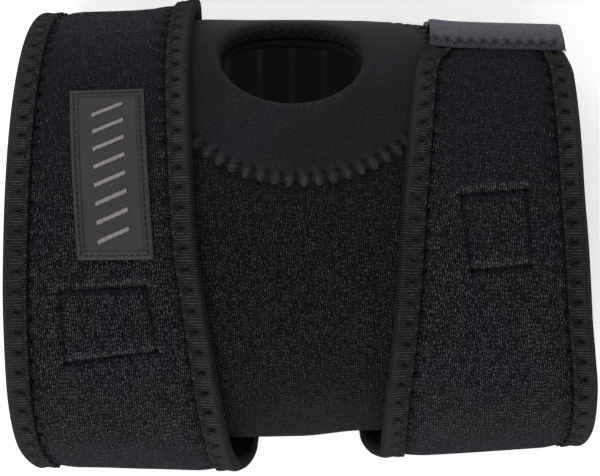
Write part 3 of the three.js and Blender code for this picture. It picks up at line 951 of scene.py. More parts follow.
# Edge tape: its needle holes, a small glint by each, and notches of shade along its inner edge
TAPE_RIB_PITCH = 0.8
TAPE_HOLES = {"Place": BINDING_IN, "Pitch": BINDING_PITCH, "Phase": 0.0, "Size": 0.78, "Fold": 2.2}
TAPE_SHINE = {"Place": 7.6, "Pitch": BINDING_PITCH, "Phase": -0.22, "Size": 0.3, "Fold": 1.2}
TAPE_NOTCHES = {"Place": TAPE_COVER, "Pitch": BINDING_PITCH, "Phase": 0.5, "Size": 1.2, "Fold": 1.0}

# A wedge of shade opens from each needle hole towards the band
WEDGE_START = 0.3
WEDGE_SPREAD = 0.3
WEDGE_DEEP = 1.5

# How strong each of the tape's marks is: painted glints on its paler yarn and by each hole, painted shade
# in its notches and needle holes and on its flanks
YARN_GLINT = 0.35
SHINE_PALE = 0.5
NOTCH_DARK = 0.6
TAPE_HOLE_DARK = 0.97
TAPE_HOLE_DEEP = 2.5
TAPE_FUZZ_HIGH = 0.3
TAPE_FLANK_SHADE = 0.28
TAPE_ROUGHNESS = 0.42


def stitch_wedge(net, edge):
    """Shade that opens from each needle hole towards the band."""
    behind = net.minus(edge[0], BINDING_IN)
    off = net.times(net.from_whole(edge[1]), BINDING_PITCH)
    spread = net.math("MULTIPLY_ADD", net.math("MAXIMUM", behind, 0.0), WEDGE_SPREAD, WEDGE_START)
    wedge = net.times(net.bell(off, spread), net.remap(behind, -0.3, 0.4, 0.0, 1.0))
    return net.times(wedge, net.remap(behind, 1.0, 4.2, 0.85, 0.25))


def make_tape(name, deep, lit, glint, shaded):
    """Ribbed tape. Shaded is how much painted shade darkens its rolled edge."""
    material, net, shader, cloth = start_material(name)
    edge = read_map(net, "edge")
    ribs = place_group(net, RIB_GROUP, Cloth=cloth, Edge=edge, Pitch=TAPE_RIB_PITCH)
    wear = place_group(net, WEAR_GROUP, Cloth=cloth, Fleck=0.02)
    hole = place_group(net, STITCH_GROUP, Edge=edge, **TAPE_HOLES)
    shine = place_group(net, STITCH_GROUP, Edge=edge, **TAPE_SHINE)
    notch = place_group(net, STITCH_GROUP, Edge=edge, **TAPE_NOTCHES)
    from_edge = net.parts(edge)
    wedge = stitch_wedge(net, from_edge)
    flank_shade = find_shaded_flank(net)
    share = net.times(ribs["Height"], net.spread(wear["Fuzz"], 0.7, 1.15), clamp=True)
    base = net.mix(share, deep, lit)
    yarn = net.times(net.power(ribs["Yarn"], 2.0), net.power(ribs["Height"], 3.0))
    # Painted glints on the paler yarn at the rib crests
    base = net.mix(net.times(yarn, YARN_GLINT), base, glint)
    base = net.mix(wedge, base, BLACK)
    # Painted shade on the tape's steep flanks
    base = net.mix(net.times(flank_shade, TAPE_FLANK_SHADE), base, deep)
    base = net.mix(net.times(shine["Hole"], SHINE_PALE), base, glint)
    base = net.darken(base, notch["Hole"], NOTCH_DARK)
    # Painted shade on the rolled edge, strongest on the inner tapes
    base = net.mix(net.remap(from_edge[0], 0.6, 2.6, shaded, 0.0), base, BLACK)
    # Painted shade in the needle holes
    base = net.darken(base, hole["Hole"], TAPE_HOLE_DARK)
    height = net.plus(ribs["Height"], net.times(wear["Fuzz"], TAPE_FUZZ_HIGH))
    height = net.minus(height, net.times(hole["Hole"], TAPE_HOLE_DEEP))
    height = net.minus(height, net.times(wedge, WEDGE_DEEP))
    net.feed(shader, "Base Color", base)
    bump(net, shader, height, strength=1.0, depth=0.4)
    set_gloss(shader, TAPE_ROUGHNESS, 0.12)
    net.feed(shader, "Roughness", net.remap(flank_shade, 0.0, 1.0, TAPE_ROUGHNESS, 1.0))
    return material


# Hook cloth: painted shade darkens it towards the seam that the tab is sewn by, painted light brightens it
# towards its tip, and painted shade lies on its small folds and in its needle holes
TAB_HOLE_MARKS = {"Place": TAB_HOLES, "Pitch": TAB_PITCH, "Phase": 0.0, "Size": 1.05, "Fold": 1.8}
TWILL_PITCH = 1.3
TAB_FOLD_SHADE = 0.12
TAB_SEAM_SHADE = 13.0
TAB_HOLE_DARK = 0.93
TAB_HOLE_DEEP = 2.0
TAB_NAP_HIGH = 0.7


def make_hook_cloth(name, deep, lit):
    """Brushed twill with a short nap."""
    material, net, shader, cloth = start_material(name)
    edge = read_map(net, "edge")
    twill = place_group(net, TWILL_GROUP, Cloth=cloth, Pitch=TWILL_PITCH)
    wear = place_group(net, WEAR_GROUP, Cloth=cloth, Fleck=0.02)
    mark = place_group(net, STITCH_GROUP, Edge=edge, **TAB_HOLE_MARKS)
    share = net.times(twill["Height"], net.spread(twill["Nap"], 0.35, 1.15), clamp=True)
    # Painted shade on the small folds by the needle holes
    share = net.plus(share, net.times(mark["Pucker"], -TAB_FOLD_SHADE), clamp=True)
    # Painted shade towards the seam, painted light towards the tip
    share = net.times(share, net.remap(net.parts(edge)[0], 0.0, TAB_SEAM_SHADE, 0.4, 1.5))
    base = net.mix(share, deep, lit)
    base = net.mix(wear["Lint"], base, grey(0.5))
    # Painted shade in the needle holes
    base = net.darken(base, mark["Hole"], TAB_HOLE_DARK)
    height = net.plus(twill["Height"], net.times(twill["Nap"], TAB_NAP_HIGH))
    height = net.minus(height, net.times(mark["Hole"], TAB_HOLE_DEEP))
    net.feed(shader, "Base Color", base)
    bump(net, shader, height, strength=0.55, depth=0.2)
    set_gloss(shader, 0.6, 0.2, sheen=0.05, sheen_roughness=0.4, tint=colour(0.75, 0.8, 0.95))
    return material


# Rubber: a dashed groove in the frame, and shade where the frame steps down to the field
GROOVE_REACH = 0.34
GROOVE_DARK = 0.85
DASH_GAP = 0.26
STEP_REACH = 0.3
STEP_DARK = 0.45


def make_rubber(name, deep, lit, roughness, grooved):
    """Matt moulded rubber."""
    material, net, shader, cloth = start_material(name)
    wear = place_group(net, WEAR_GROUP, Cloth=cloth, Fleck=0.015)
    base = net.mix(net.spread(wear["Fuzz"], 0.0, 1.0), deep, lit)
    base = net.mix(wear["Lint"], base, grey(0.4))
    if grooved:
        edge = net.parts(read_map(net, "edge"))
        line = net.bell(net.minus(edge[0], BADGE_GROOVE), GROOVE_REACH)
        dash = net.math("GREATER_THAN", net.math("FRACT", edge[1]), DASH_GAP)
        base = net.darken(base, net.times(line, dash), GROOVE_DARK)
        base = net.darken(base, net.bell(net.minus(edge[0], BADGE_FRAME), STEP_REACH), STEP_DARK)
    net.feed(shader, "Base Color", base)
    net.feed(shader, "Roughness", net.spread(wear["Fade"], roughness - 0.06, roughness + 0.08))
    bump(net, shader, wear["Fuzz"], strength=0.25, depth=0.08)
    shader.inputs["Specular IOR Level"].default_value = 0.2
    return material


PLY_SLANT = 2.2


def make_thread(name, deep, lit):
    """Twisted thread: slanted plies along each stitch."""
    material, net, shader, cloth = start_material(name)
    along = net.parts(cloth)
    ply = net.wave(net.plus(net.times(along[0], PLY_SLANT), along[1]))
    net.feed(shader, "Base Color", net.mix(ply, deep, lit))
    bump(net, shader, ply, strength=0.6, depth=0.08)
    set_gloss(shader, 0.4, 0.2)
    return material


# Rows of needle holes on the cloths
STRAP_HOLES = {"Place": BINDING_OUT, "Pitch": BINDING_PITCH, "Phase": 0.5, "Size": 0.7, "Fold": 2.0}
SEAM_HOLES = {"Place": SEAM_IN, "Pitch": PANEL_PITCH, "Phase": 0.5, "Size": 0.74, "Fold": 1.0}
SEAM_FOLDS = {"Place": 0.9, "Pitch": PANEL_PITCH, "Phase": 0.5, "Size": 0.1, "Fold": 2.1}
SKIN_HOLES = {"Place": 2.6, "Pitch": PANEL_PITCH, "Phase": 0.0, "Size": 0.4, "Fold": 1.6}
RIM_HOLES = {"Place": RIM_IN, "Pitch": RIM_PITCH, "Phase": 0.0, "Size": 0.62, "Fold": 1.4}
RIM_LOW_HOLES = {"Place": RIM_LOW, "Pitch": RIM_PITCH, "Phase": 0.5, "Size": 0.5, "Fold": 1.4}

# Finishes of this support, each with its own hues
STRAP_KNIT = make_loop_knit(
    "strap_loop_knit", wale=0.68, course=1.3, streak=0.5, grain=(1.35, 0.5),
    deep=colour(0.0027, 0.0025, 0.0026), lit=colour(0.061, 0.0555, 0.067),
    other=colour(0.063, 0.065, 0.059), flank_shade_colour=colour(0.031, 0.024, 0.042),
    glint=colour(0.16, 0.155, 0.165), hole=STRAP_HOLES, boxed=True,
)
SLEEVE_KNIT = make_loop_knit(
    "sleeve_loop_knit", wale=0.66, course=1.32, streak=0.45, grain=(0.4, 1.5),
    deep=colour(0.0015, 0.0015, 0.0016), lit=colour(0.039, 0.0395, 0.0435),
    other=colour(0.038, 0.0385, 0.039), flank_shade_colour=colour(0.02, 0.019, 0.026),
    glint=grey(0.1), hole=SKIN_HOLES, boxed=False,
)
LINING_KNIT = make_lining("lining_knit", deep=colour(0.04, 0.04, 0.039), lit=colour(0.082, 0.082, 0.078))
# The ring's near-black hues are painted shade inside the hole
RING_KNIT = make_smooth_knit("ring_jersey", deep=grey(0.003), lit=grey(0.008), other=grey(0.008), marks=[])
PANEL_KNIT = make_smooth_knit(
    "panel_jersey", deep=colour(0.0065, 0.0062, 0.0072), lit=colour(0.0205, 0.0205, 0.0212),
    other=colour(0.0195, 0.0175, 0.0235),
    marks=[
        ("edge", 0.0, SEAM_HOLES), ("edge", 1.0, SEAM_FOLDS),
        ("rim", 0.15, RIM_HOLES), ("rim", 0.15, RIM_LOW_HOLES),
    ],
)
TAPE_HUES = {
    "deep": colour(0.001, 0.0011, 0.001),
    "lit": colour(0.026, 0.027, 0.0235),
    "glint": colour(0.1, 0.102, 0.094),
}
# The inner tapes carry more painted shade on their rolled edge than the outer ones
OUTER_TAPE_CLOTH = make_tape("outer_edge_tape", shaded=0.1, **TAPE_HUES)
INNER_TAPE_CLOTH = make_tape("inner_edge_tape", shaded=0.55, **TAPE_HUES)
HOOK_CLOTH = make_hook_cloth(
    "hook_tab_cloth", deep=colour(0.022, 0.023, 0.03), lit=colour(0.104, 0.11, 0.141),
)
BADGE_FIELD = make_rubber(
    "badge_rubber", deep=colour(0.027, 0.027, 0.029), lit=colour(0.038, 0.038, 0.04),
    roughness=0.6, grooved=True,
)
BADGE_BARS = make_rubber(
    "badge_bars", deep=colour(0.19, 0.16, 0.16), lit=colour(0.25, 0.215, 0.215),
    roughness=0.5, grooved=False,
)
THREAD = make_thread("black_thread", deep=grey(0.001), lit=grey(0.005))
SEAM_THREAD = make_thread("seam_thread", deep=grey(0.006), lit=colour(0.028, 0.028, 0.029))
TAB_THREAD = make_thread("tab_thread", deep=colour(0.008, 0.0085, 0.011), lit=colour(0.035, 0.037, 0.048))


# Sleeve tube, with the round place of the kneecap panel left open
SLEEVE_ROWS = 128
SLEEVE_COLUMNS = 276
SEAM_LAP = 0.9

# Skin points this near the panel's seam, in grid cells, are drawn onto it
DRAWN_INSIDE = 0.75
DRAWN_OUTSIDE = 0.6

# The sleeve's uneven skin and its rounded ends
SLEEVE_SEED = 3
SLEEVE_UNEVEN = 0.22
SLEEVE_WAVE = 46.0
END_REACH = 0.8
OUTER_END_LOW = 0.5
INNER_END_HIGH = 0.4
RIB_SHARP = 1.3

# The panel's seam: small folds, needle dips, and how the cloth sinks on its two sides
SEAM_FOLD_HIGH = 0.45
SEAM_FOLD_REACH = 1.8
SEAM_FOLD_OFF = 0.5
SEAM_DIP_DEEP = 0.8
SEAM_DIP_REACH = 1.0
SLEEVE_SINK_DEEP = 0.7
SLEEVE_SINK_FROM = 0.2
SLEEVE_SINK_TO = 3.8
PANEL_SINK_DEEP = 0.15
PANEL_SINK_REACH = 2.0


def from_kneecap(x, arc):
    return np.hypot(x, arc - KNEECAP_ARC)


def seam_count(x, arc):
    return np.arctan2(arc - KNEECAP_ARC, x) / TURN * PANEL_STITCHES


def seam_pucker(count, away):
    """Small folds that run off the zigzag seam. Away is outward from it."""
    fold = np.cos(count * TURN)
    along = past_half(count) * PANEL_PITCH
    dip = SEAM_DIP_DEEP * hump(np.hypot(along, away + SEAM_IN), SEAM_DIP_REACH)
    sleeve_sink = SLEEVE_SINK_DEEP * (1 - smooth(SLEEVE_SINK_FROM, SLEEVE_SINK_TO, away))
    sink = np.where(away > 0, sleeve_sink, PANEL_SINK_DEEP * hump(away, PANEL_SINK_REACH))
    fade = np.exp(-np.abs(away + SEAM_FOLD_OFF) / SEAM_FOLD_REACH)
    return fold * SEAM_FOLD_HIGH * fade - sink - dip


def rib_depth(x):
    start = HOLE_OFF_AXIS + RIB_COUNT * RIB_PITCH / 2
    inside = (start - x) / RIB_PITCH
    phase = inside - np.floor(inside)
    ridge = (1 - np.abs(2 * phase - 1)) ** RIB_SHARP
    return np.where((inside > 0) & (inside < RIB_COUNT), RIB_DEPTH * ridge, 0.0)


def mend_count(uv):
    """Faces across the start of the count of stitches take it on past its end."""
    jumps = np.ptp(uv[:, :, 3], axis=1) > PANEL_STITCHES / 2
    fixed = uv[jumps]
    fixed[:, :, 3] += (fixed[:, :, 3] < 0) * PANEL_STITCHES
    uv[jumps] = fixed


def wall_faces(faces, uv, below):
    """Walls from each open edge of the skin to the lining, whose points follow that far below."""
    edges = np.concatenate([faces[:, [k, (k + 1) % 4]] for k in range(4)])
    edge_uv = np.concatenate([uv[:, [k, (k + 1) % 4]] for k in range(4)])
    keys = {}
    for index, (a, b) in enumerate(edges.tolist()):
        keys.setdefault((min(a, b), max(a, b)), []).append(index)
    open_edges = [found[0] for found in keys.values() if len(found) == 1]
    rim = edges[open_edges]
    walls = np.stack([rim[:, 1], rim[:, 0], rim[:, 0] + below, rim[:, 1] + below], 1)
    return walls, edge_uv[open_edges][:, [1, 0, 0, 1]]


def make_sleeve():
    x = np.linspace(-HALF_LENGTH, HALF_LENGTH, SLEEVE_ROWS)[:, None]
    turn = (np.arange(SLEEVE_COLUMNS) / SLEEVE_COLUMNS)[None, :]
    round_here = length_at(x)
    arc = turn * round_here
    arc_near = np.where(turn > 0.5, arc - round_here, arc)
    spread_x = np.broadcast_to(x, arc.shape).copy()
    away = from_kneecap(spread_x, arc_near)
    cell = SLEEVE_LENGTH / (SLEEVE_ROWS - 1)
    radius = PANEL_RADIUS - SEAM_LAP
    near = (away > radius - DRAWN_INSIDE * cell) & (away < radius + DRAWN_OUTSIDE * cell)
    pull = np.where(near, radius / away, 1.0)
    laid_x = spread_x * pull
    laid_arc = KNEECAP_ARC + (arc_near - KNEECAP_ARC) * pull
    laid_turn = laid_arc / length_at(laid_x)
    gap = from_kneecap(laid_x, laid_arc) - radius
    count = seam_count(laid_x, laid_arc)
    off = np.where(gap > -cell, seam_pucker(count, np.maximum(gap - SEAM_LAP, 0.01)), 0.0)
    off = off + SLEEVE_UNEVEN * waves(laid_x, arc, SLEEVE_SEED, SLEEVE_WAVE)
    by_end = np.exp(-(HALF_LENGTH - np.abs(laid_x)) / END_REACH)
    outer = off_skin(laid_x, laid_turn, off - OUTER_END_LOW * by_end)
    lining = -SLEEVE_WALL - rib_depth(laid_x) + INNER_END_HIGH * by_end
    inner = off_skin(laid_x, laid_turn, lining)
    maps = np.zeros((SLEEVE_ROWS, SLEEVE_COLUMNS + 1, 4))
    maps[:, :-1, 0] = laid_x
    maps[:, :-1, 1] = laid_turn * round_here + np.where(turn > 0.5, round_here, 0.0)
    maps[:, :-1, 2] = gap
    maps[:, :-1, 3] = count
    maps[:, -1] = maps[:, 0]
    maps[:, -1, 1] += round_here[:, 0]
    faces, corners = grid_faces(SLEEVE_ROWS, SLEEVE_COLUMNS, False, True, False)
    inside = (away <= radius - DRAWN_INSIDE * cell).ravel()
    keep = ~inside[faces].any(1)
    faces = faces[keep]
    uv = np.stack([maps[a[keep], b[keep]] for a, b in corners], 1)
    mend_count(uv)
    below = SLEEVE_ROWS * SLEEVE_COLUMNS
    walls, wall_uv = wall_faces(faces, uv, below)
    all_faces = np.concatenate([faces, faces[:, ::-1] + below, walls])
    all_uv = np.concatenate([uv, uv[:, ::-1], wall_uv])
    marks = [0] * len(faces) + [1] * (len(faces) + len(walls))
    points = np.concatenate([outer.reshape(-1, 3), inner.reshape(-1, 3)])
    used = np.unique(all_faces)
    renumber = np.full(len(points), -1)
    renumber[used] = np.arange(len(used))
    data = (points[used], renumber[all_faces].tolist(), all_uv.reshape(-1, 4), marks)
    sleeve = make_piece(
        "sleeve_tube", data, [SLEEVE_KNIT, LINING_KNIT], ["sleeve_body"], ["edge"],
    )


# Kneecap panel: smooth jersey over foam, turned down into the hole
PANEL_SPOKES = 6 * PANEL_STITCHES
PANEL_REACH = 28.0
ROLL_STEPS = 10
FACE_STEPS = 40
BACK_STEPS = 14

# The rolled rim, and how the panel rises to it
RIM_ROLL = 3.4
ROLL_STRETCH = 1.3
RIM_SWELL = 0.8
RIM_SWELL_LEAN = 0.35
RIM_SWELL_REACH = 8.0
OFF_RIM = 60.0

# Petals of the panel's edge: their reach over the seam, and how they differ
SCALLOP = 0.75
SCALLOP_OUT = 0.35
SCALLOP_UNEVEN = 0.3
SCALLOP_STRAY = 0.22
UNEVEN_BEAT, STRAY_BEAT = 2.3, 5.1
PETAL_STARTS = 0.95

# The panel's edge drops over the seam, and its face waves a little
EDGE_LOW = 0.3
EDGE_TUCK = 0.35
FACE_WAVE = 0.12
FACE_WAVES = 5

# Rows down the panel's outer edge: height, and share of the face if they count to it
EDGE_ROWS = [(-0.42, 1.0), (-0.55, 0.99), (-1.2, None)]


def hole_at(angle, grown):
    x = HOLE_OFF_AXIS + (HOLE_ALONG / 2 + grown) * np.cos(angle)
    return x, KNEECAP_ARC + (HOLE_AROUND / 2 + grown) * np.sin(angle)


def panel_point(angle, out, grown, off):
    """Out runs from the hole's edge, 0, to the round seam, 1, which may be grown a little."""
    hole_x, hole_arc = hole_at(angle, 0.0)
    seam_x = (PANEL_RADIUS + grown) * np.cos(angle)
    seam_arc = KNEECAP_ARC + (PANEL_RADIUS + grown) * np.sin(angle)
    x = hole_x + (seam_x - hole_x) * out
    arc = hole_arc + (seam_arc - hole_arc) * out
    return x, arc, off_skin(x, turns_of(arc, x), off)


def rim_swell(angle):
    """The soft edge stands up most towards the crown."""
    return RIM_SWELL * (1 - RIM_SWELL_LEAN * np.sin(angle))


def panel_rows():
    """Each row as its place out, its height, its share of the face, none below it, and its rim map."""
    rows = [(0.0, -PANEL_WALL, 0.0, PANEL_WALL + 1.2)]
    for step in range(ROLL_STEPS + 1):
        a = step / ROLL_STEPS * math.pi / 2
        out = RIM_ROLL * (1 - math.cos(a)) / PANEL_REACH
        below = RIM_ROLL * (1 - a / (math.pi / 2)) * ROLL_STRETCH
        rows.append((out, -RIM_ROLL * (1 - math.sin(a)), 0.0, below))
    rim_share = RIM_ROLL / PANEL_REACH
    for step in range(1, FACE_STEPS + 1):
        rows.append((rim_share + (1 - rim_share) * step / FACE_STEPS, 0.0, step / FACE_STEPS, -step))
    rows += [(1.0, off, share, -OFF_RIM) for off, share in EDGE_ROWS]
    rows += [(1.0 - step / BACK_STEPS, -PANEL_WALL, None, OFF_RIM) for step in range(BACK_STEPS)]
    return rows


def make_panel():
    angle = np.arange(PANEL_SPOKES) / PANEL_SPOKES * TURN
    count = angle / TURN * PANEL_STITCHES
    petal = SCALLOP * np.cos(count * TURN)
    scallop = SCALLOP_OUT + petal * (1 + SCALLOP_UNEVEN * np.sin(count * UNEVEN_BEAT))
    scallop = scallop + SCALLOP_STRAY * np.sin(count * STRAY_BEAT + 1.0)
    rows = panel_rows()
    columns = len(rows)
    points = np.zeros((PANEL_SPOKES, columns, 3))
    maps = np.zeros((PANEL_SPOKES + 1, columns + 1, 6))
    whole_count = np.arange(PANEL_SPOKES + 1) / PANEL_SPOKES * PANEL_STITCHES
    for k, (out, off, share, rim) in enumerate(rows):
        seam_away = (1 - out) * PANEL_REACH
        grown = scallop if share == 1.0 else (scallop / 2 if share and share > PETAL_STARTS else 0.0)
        lift = off
        if share is None:
            grown = -SEAM_LAP - EDGE_TUCK
        elif out == 1.0 and off < 0:
            lift = off + seam_pucker(count, np.zeros(PANEL_SPOKES))
        elif off == 0.0:
            near_rim = hump(seam_away - PANEL_REACH + RIM_ROLL, RIM_SWELL_REACH)
            lift = seam_pucker(count, np.minimum(-seam_away, 0.0)) + rim_swell(angle) * near_rim
            lift = lift - (EDGE_LOW if share == 1.0 else 0.0)
            lift = lift + FACE_WAVE * np.sin(angle * FACE_WAVES + 1.0) * (1 - near_rim)
        elif off > -PANEL_WALL:
            lift = off + rim_swell(angle)
        x, arc, points[:, k] = panel_point(angle, out, grown, lift)
        maps[:-1, k, 0], maps[:-1, k, 1] = x, arc
        maps[-1, k, :2] = maps[0, k, :2]
        maps[:, k, 2] = seam_away if share is not None else FAR
        maps[:, k, 3] = whole_count
        maps[:, k, 4] = rim
        maps[:, k, 5] = whole_count / PANEL_STITCHES * RIM_STITCHES
    maps[:, -1] = maps[:, 0]
    data = grid_mesh(points, maps, wrap_rows=True, wrap_columns=True, flip=True)
    panel = make_piece(
        "kneecap_panel", data, [PANEL_KNIT], ["patella_panel"], ["edge", "rim"],
    )


# Ring behind the hole's edge
RING_SPOKES = 216
CORNER_STEPS = 8


def make_ring():
    """A soft ring with rounded corners."""
    angle = np.arange(RING_SPOKES) / RING_SPOKES * TURN
    top, low = -PANEL_WALL - RING_GAP, -PANEL_WALL - RING_GAP - RING_THICK
    middle, half = (top + low) / 2, RING_THICK / 2
    outline = []
    for start, centre in ((math.pi / 2, half), (-math.pi / 2, RING_WIDTH - half)):
        for step in range(CORNER_STEPS + 1):
            a = start + step / CORNER_STEPS * math.pi
            outline.append((centre + half * math.cos(a), middle + half * math.sin(a)))
    columns = len(outline)
    points = np.zeros((RING_SPOKES, columns, 3))
    maps = np.zeros((RING_SPOKES + 1, columns + 1, 2))
    for k, (out, off) in enumerate(outline):
        x, arc = hole_at(angle, out)
        points[:, k] = off_skin(x, turns_of(arc, x), off)
        maps[:-1, k, 0], maps[:-1, k, 1] = x, arc + off
    maps[-1] = maps[0]
    maps[:, -1] = maps[:, 0]
    data = grid_mesh(points, maps, wrap_rows=True, wrap_columns=True, flip=False)
    ring = make_piece("kneecap_ring", data, [RING_KNIT], ["patella_ring"])


# Straps. Each box is its corners' place along the leg and turn, from its upper outer corner.
THIGH_BOX = [(-75.8, 0.318), (-48.5, 0.315), (-45.0, 0.365), (-74.8, 0.374)]
CALF_BOX = [(53.3, 0.242), (74.6, 0.236), (75.7, 0.299), (56.3, 0.303)]

# How deep and wide the box's slits and sides are, and the swells beside them
SLIT_DEEP, SLIT_WIDE = 1.1, 0.8
SIDE_DEEP, SIDE_WIDE = 0.8, 0.9
SWELL_OFF = 2.2
ABOVE_HIGH, ABOVE_WIDE = 0.6, 1.4
BELOW_HIGH, BELOW_WIDE = 0.25, 1.5
BESIDE_HIGH, BESIDE_WIDE = 0.3, 1.5

# Dips at the needle holes beside each tape, a little longer than wide, and low swells between them
STITCH_DIP, STITCH_DIP_WIDE, STITCH_DIP_LONG = 0.75, 1.25, 0.9
STITCH_SWELL, STITCH_SWELL_OFF, STITCH_SWELL_WIDE = 0.16, 1.5, 3.2

# How far under the tape the band starts to thicken
THICKENS_UNDER = 1.2

# Fineness of the bands
STATION_STEP = 0.8
TOP_COLUMNS = 112
UNDER_COLUMNS = 30

# Uneven skin of the bands: its height, its waves, and where it starts inward from the edge
BAND_UNEVEN = 0.28
BAND_WAVE = 30.0
UNEVEN_FROM, UNEVEN_FULL = 8.0, 16.0

# Turns over which a band lies under the sleeve, pressed flat
LYING_STARTS, LYING_FULL = 0.52, 0.6
RISING_STARTS, RISING_FULL = 0.9, 0.97


def box_lines(box, strap, x, arc):
    """How far each place is from the box's slits and from its two fainter sides."""
    corners = [(px, pt * strap.round) for px, pt in box]
    slit, side = np.full(x.shape, FAR), np.full(x.shape, FAR)
    for k, (ax, aa) in enumerate(corners):
        bx, ba = corners[(k + 1) % 4]
        dx, da = bx - ax, ba - aa
        long = math.hypot(dx, da)
        t = ((x - ax) * dx + (arc - aa) * da) / long**2
        off = ((x - ax) * -da + (arc - aa) * dx) / long
        past = np.maximum(np.maximum(-t, t - 1), 0) * long
        off = off + np.where(off >= 0, past, -past)
        line = slit if k % 2 == 0 else side
        off = off if k == 0 else -off
        nearer = np.abs(off) < np.abs(line)
        line[nearer] = off[nearer]
    return slit, side


def box_relief(slit, side):
    deep = SLIT_DEEP * hump(slit, SLIT_WIDE) + SIDE_DEEP * hump(side, SIDE_WIDE)
    above = ABOVE_HIGH * hump(slit + SWELL_OFF, ABOVE_WIDE)
    below = BELOW_HIGH * hump(slit - SWELL_OFF, BELOW_WIDE)
    beside = BESIDE_HIGH * hump(np.abs(side) - SWELL_OFF, BESIDE_WIDE)
    return above + below + beside - deep


def stitch_relief(across, wide, arc):
    """Dips where the zigzag stitches pull the cloth down beside each tape."""
    relief = np.zeros(np.broadcast(across, arc).shape)
    phase = arc / BINDING_PITCH
    along = past_half(phase) * BINDING_PITCH
    for away in (across - BINDING_OUT, wide - across - BINDING_OUT):
        relief = relief - STITCH_DIP * hump(np.hypot(along, away * STITCH_DIP_LONG), STITCH_DIP_WIDE)
        swell = STITCH_SWELL * np.cos(phase * TURN)
        relief = relief + swell * hump(away - STITCH_SWELL_OFF, STITCH_SWELL_WIDE)
    return relief


def strap_top(across, wide):
    edge = np.minimum(across, wide - across)
    thicker = smooth(TAPE_COVER - THICKENS_UNDER, SWELL, edge)
    return STRAP_EDGE_HALF + (STRAP_HALF - STRAP_EDGE_HALF) * thicker


def close_ends(points, maps, mesh_data, flip):
    """Caps on the first and last section of a band."""
    rows, columns = points.shape[:2]
    first, first_uv = cap(points, 0, columns, maps[0, 0], not flip)
    last, last_uv = cap(points, rows - 1, columns, maps[-1, 0], flip)
    p, faces, uv = mesh_data
    return p, faces + first + last, np.concatenate([uv, first_uv, last_uv])


def make_strap(name, node, strap, box, seed):
    around = (strap.tail - strap.start) * strap.round
    stations = int(around / STATION_STEP)
    turn = np.linspace(strap.start, strap.tail, stations)[:, None]
    wide = strap.wide(turn)
    share = np.linspace(0, 1, TOP_COLUMNS)[None, :]
    across = STRAP_INSET + share * (wide - 2 * STRAP_INSET)
    arc = turn * strap.round
    pull = strap.value(PULL, turn) * strap.width
    x = strap.edge + strap.side * (pull + across)
    slit, side = box_lines(box, strap, x, np.broadcast_to(arc, x.shape))
    edge = np.minimum(across, wide - across)
    relief = stitch_relief(across, wide, arc) + box_relief(slit, side)
    uneven = BAND_UNEVEN * waves(x, arc, seed, BAND_WAVE)
    relief = relief + uneven * smooth(UNEVEN_FROM, UNEVEN_FULL, edge)
    rising = smooth(RISING_STARTS, RISING_FULL, turn % 1.0)
    lying = smooth(LYING_STARTS, LYING_FULL, turn % 1.0) * (1 - rising)
    relief = np.where(relief > 0, relief * (1 - lying), relief)
    outer = strap.place(across, strap_top(across, wide) + relief, turn)
    back = np.linspace(1, 0, UNDER_COLUMNS)[None, :]
    low_across = STRAP_INSET + back * (wide - 2 * STRAP_INSET)
    inner = strap.place(low_across, -strap_top(low_across, wide), turn)
    points = np.concatenate([outer, inner], 1)
    columns = points.shape[1]
    maps = np.full((stations, columns + 1, 6), FAR)
    maps[:, :-1, 0] = np.concatenate([across, wide * 2 - low_across], 1)
    maps[:, -1, 0] = maps[:, 0, 0] + 2 * wide[:, 0]
    maps[:, :, 1] = arc
    maps[:, :across.shape[1], 2] = edge
    maps[:, :, 3] = arc / BINDING_PITCH
    maps[:, :across.shape[1], 4] = slit
    maps[:, :across.shape[1], 5] = side
    flip = strap.side > 0
    data = close_ends(points, maps, grid_mesh(points, maps, wrap_columns=True, flip=flip), flip)
    piece = make_piece(name, data, [STRAP_KNIT], [node], ["edge", "box"])


# Edge tapes
TAPE_ROLL = 2.4
ROLLED_STEPS = 12
LINED_STEPS = 6

# The tape's section: its lip on the band, its level top and its underside, each with its end gaps
LIP_LOW, LIP_WIDE = 0.35, 0.25
TOP_INNER_GAP, TOP_OUTER_GAP, TOP_POINTS = 0.8, 0.4, 9
UNDER_OUTER_GAP, UNDER_INNER_GAP, UNDER_POINTS = 1.5, 0.2, 4

# The dips fade in between these heights, and the stitch marks reach this far down
DIPS_START, DIPS_FULL = 1.2, 2.2
MARKS_DOWN = 1.0

# Dips and swells along a tape: at its needle holes, between them, and along its whole length
HOLE_DIP, HOLE_DIP_WIDE = 0.7, 1.1
NOTCH_DIP, NOTCH_LONG, NOTCH_WIDE = 0.42, 1.3, 1.5
TAPE_SWELL, TAPE_SWELL_WIDE = 0.18, 3.0
ROLL_HIGH, ROLL_PLACE, ROLL_WIDE = 0.22, 1.6, 1.3
TROUGH_DEEP, TROUGH_PLACE, TROUGH_WIDE = 0.25, 5.6, 2.2


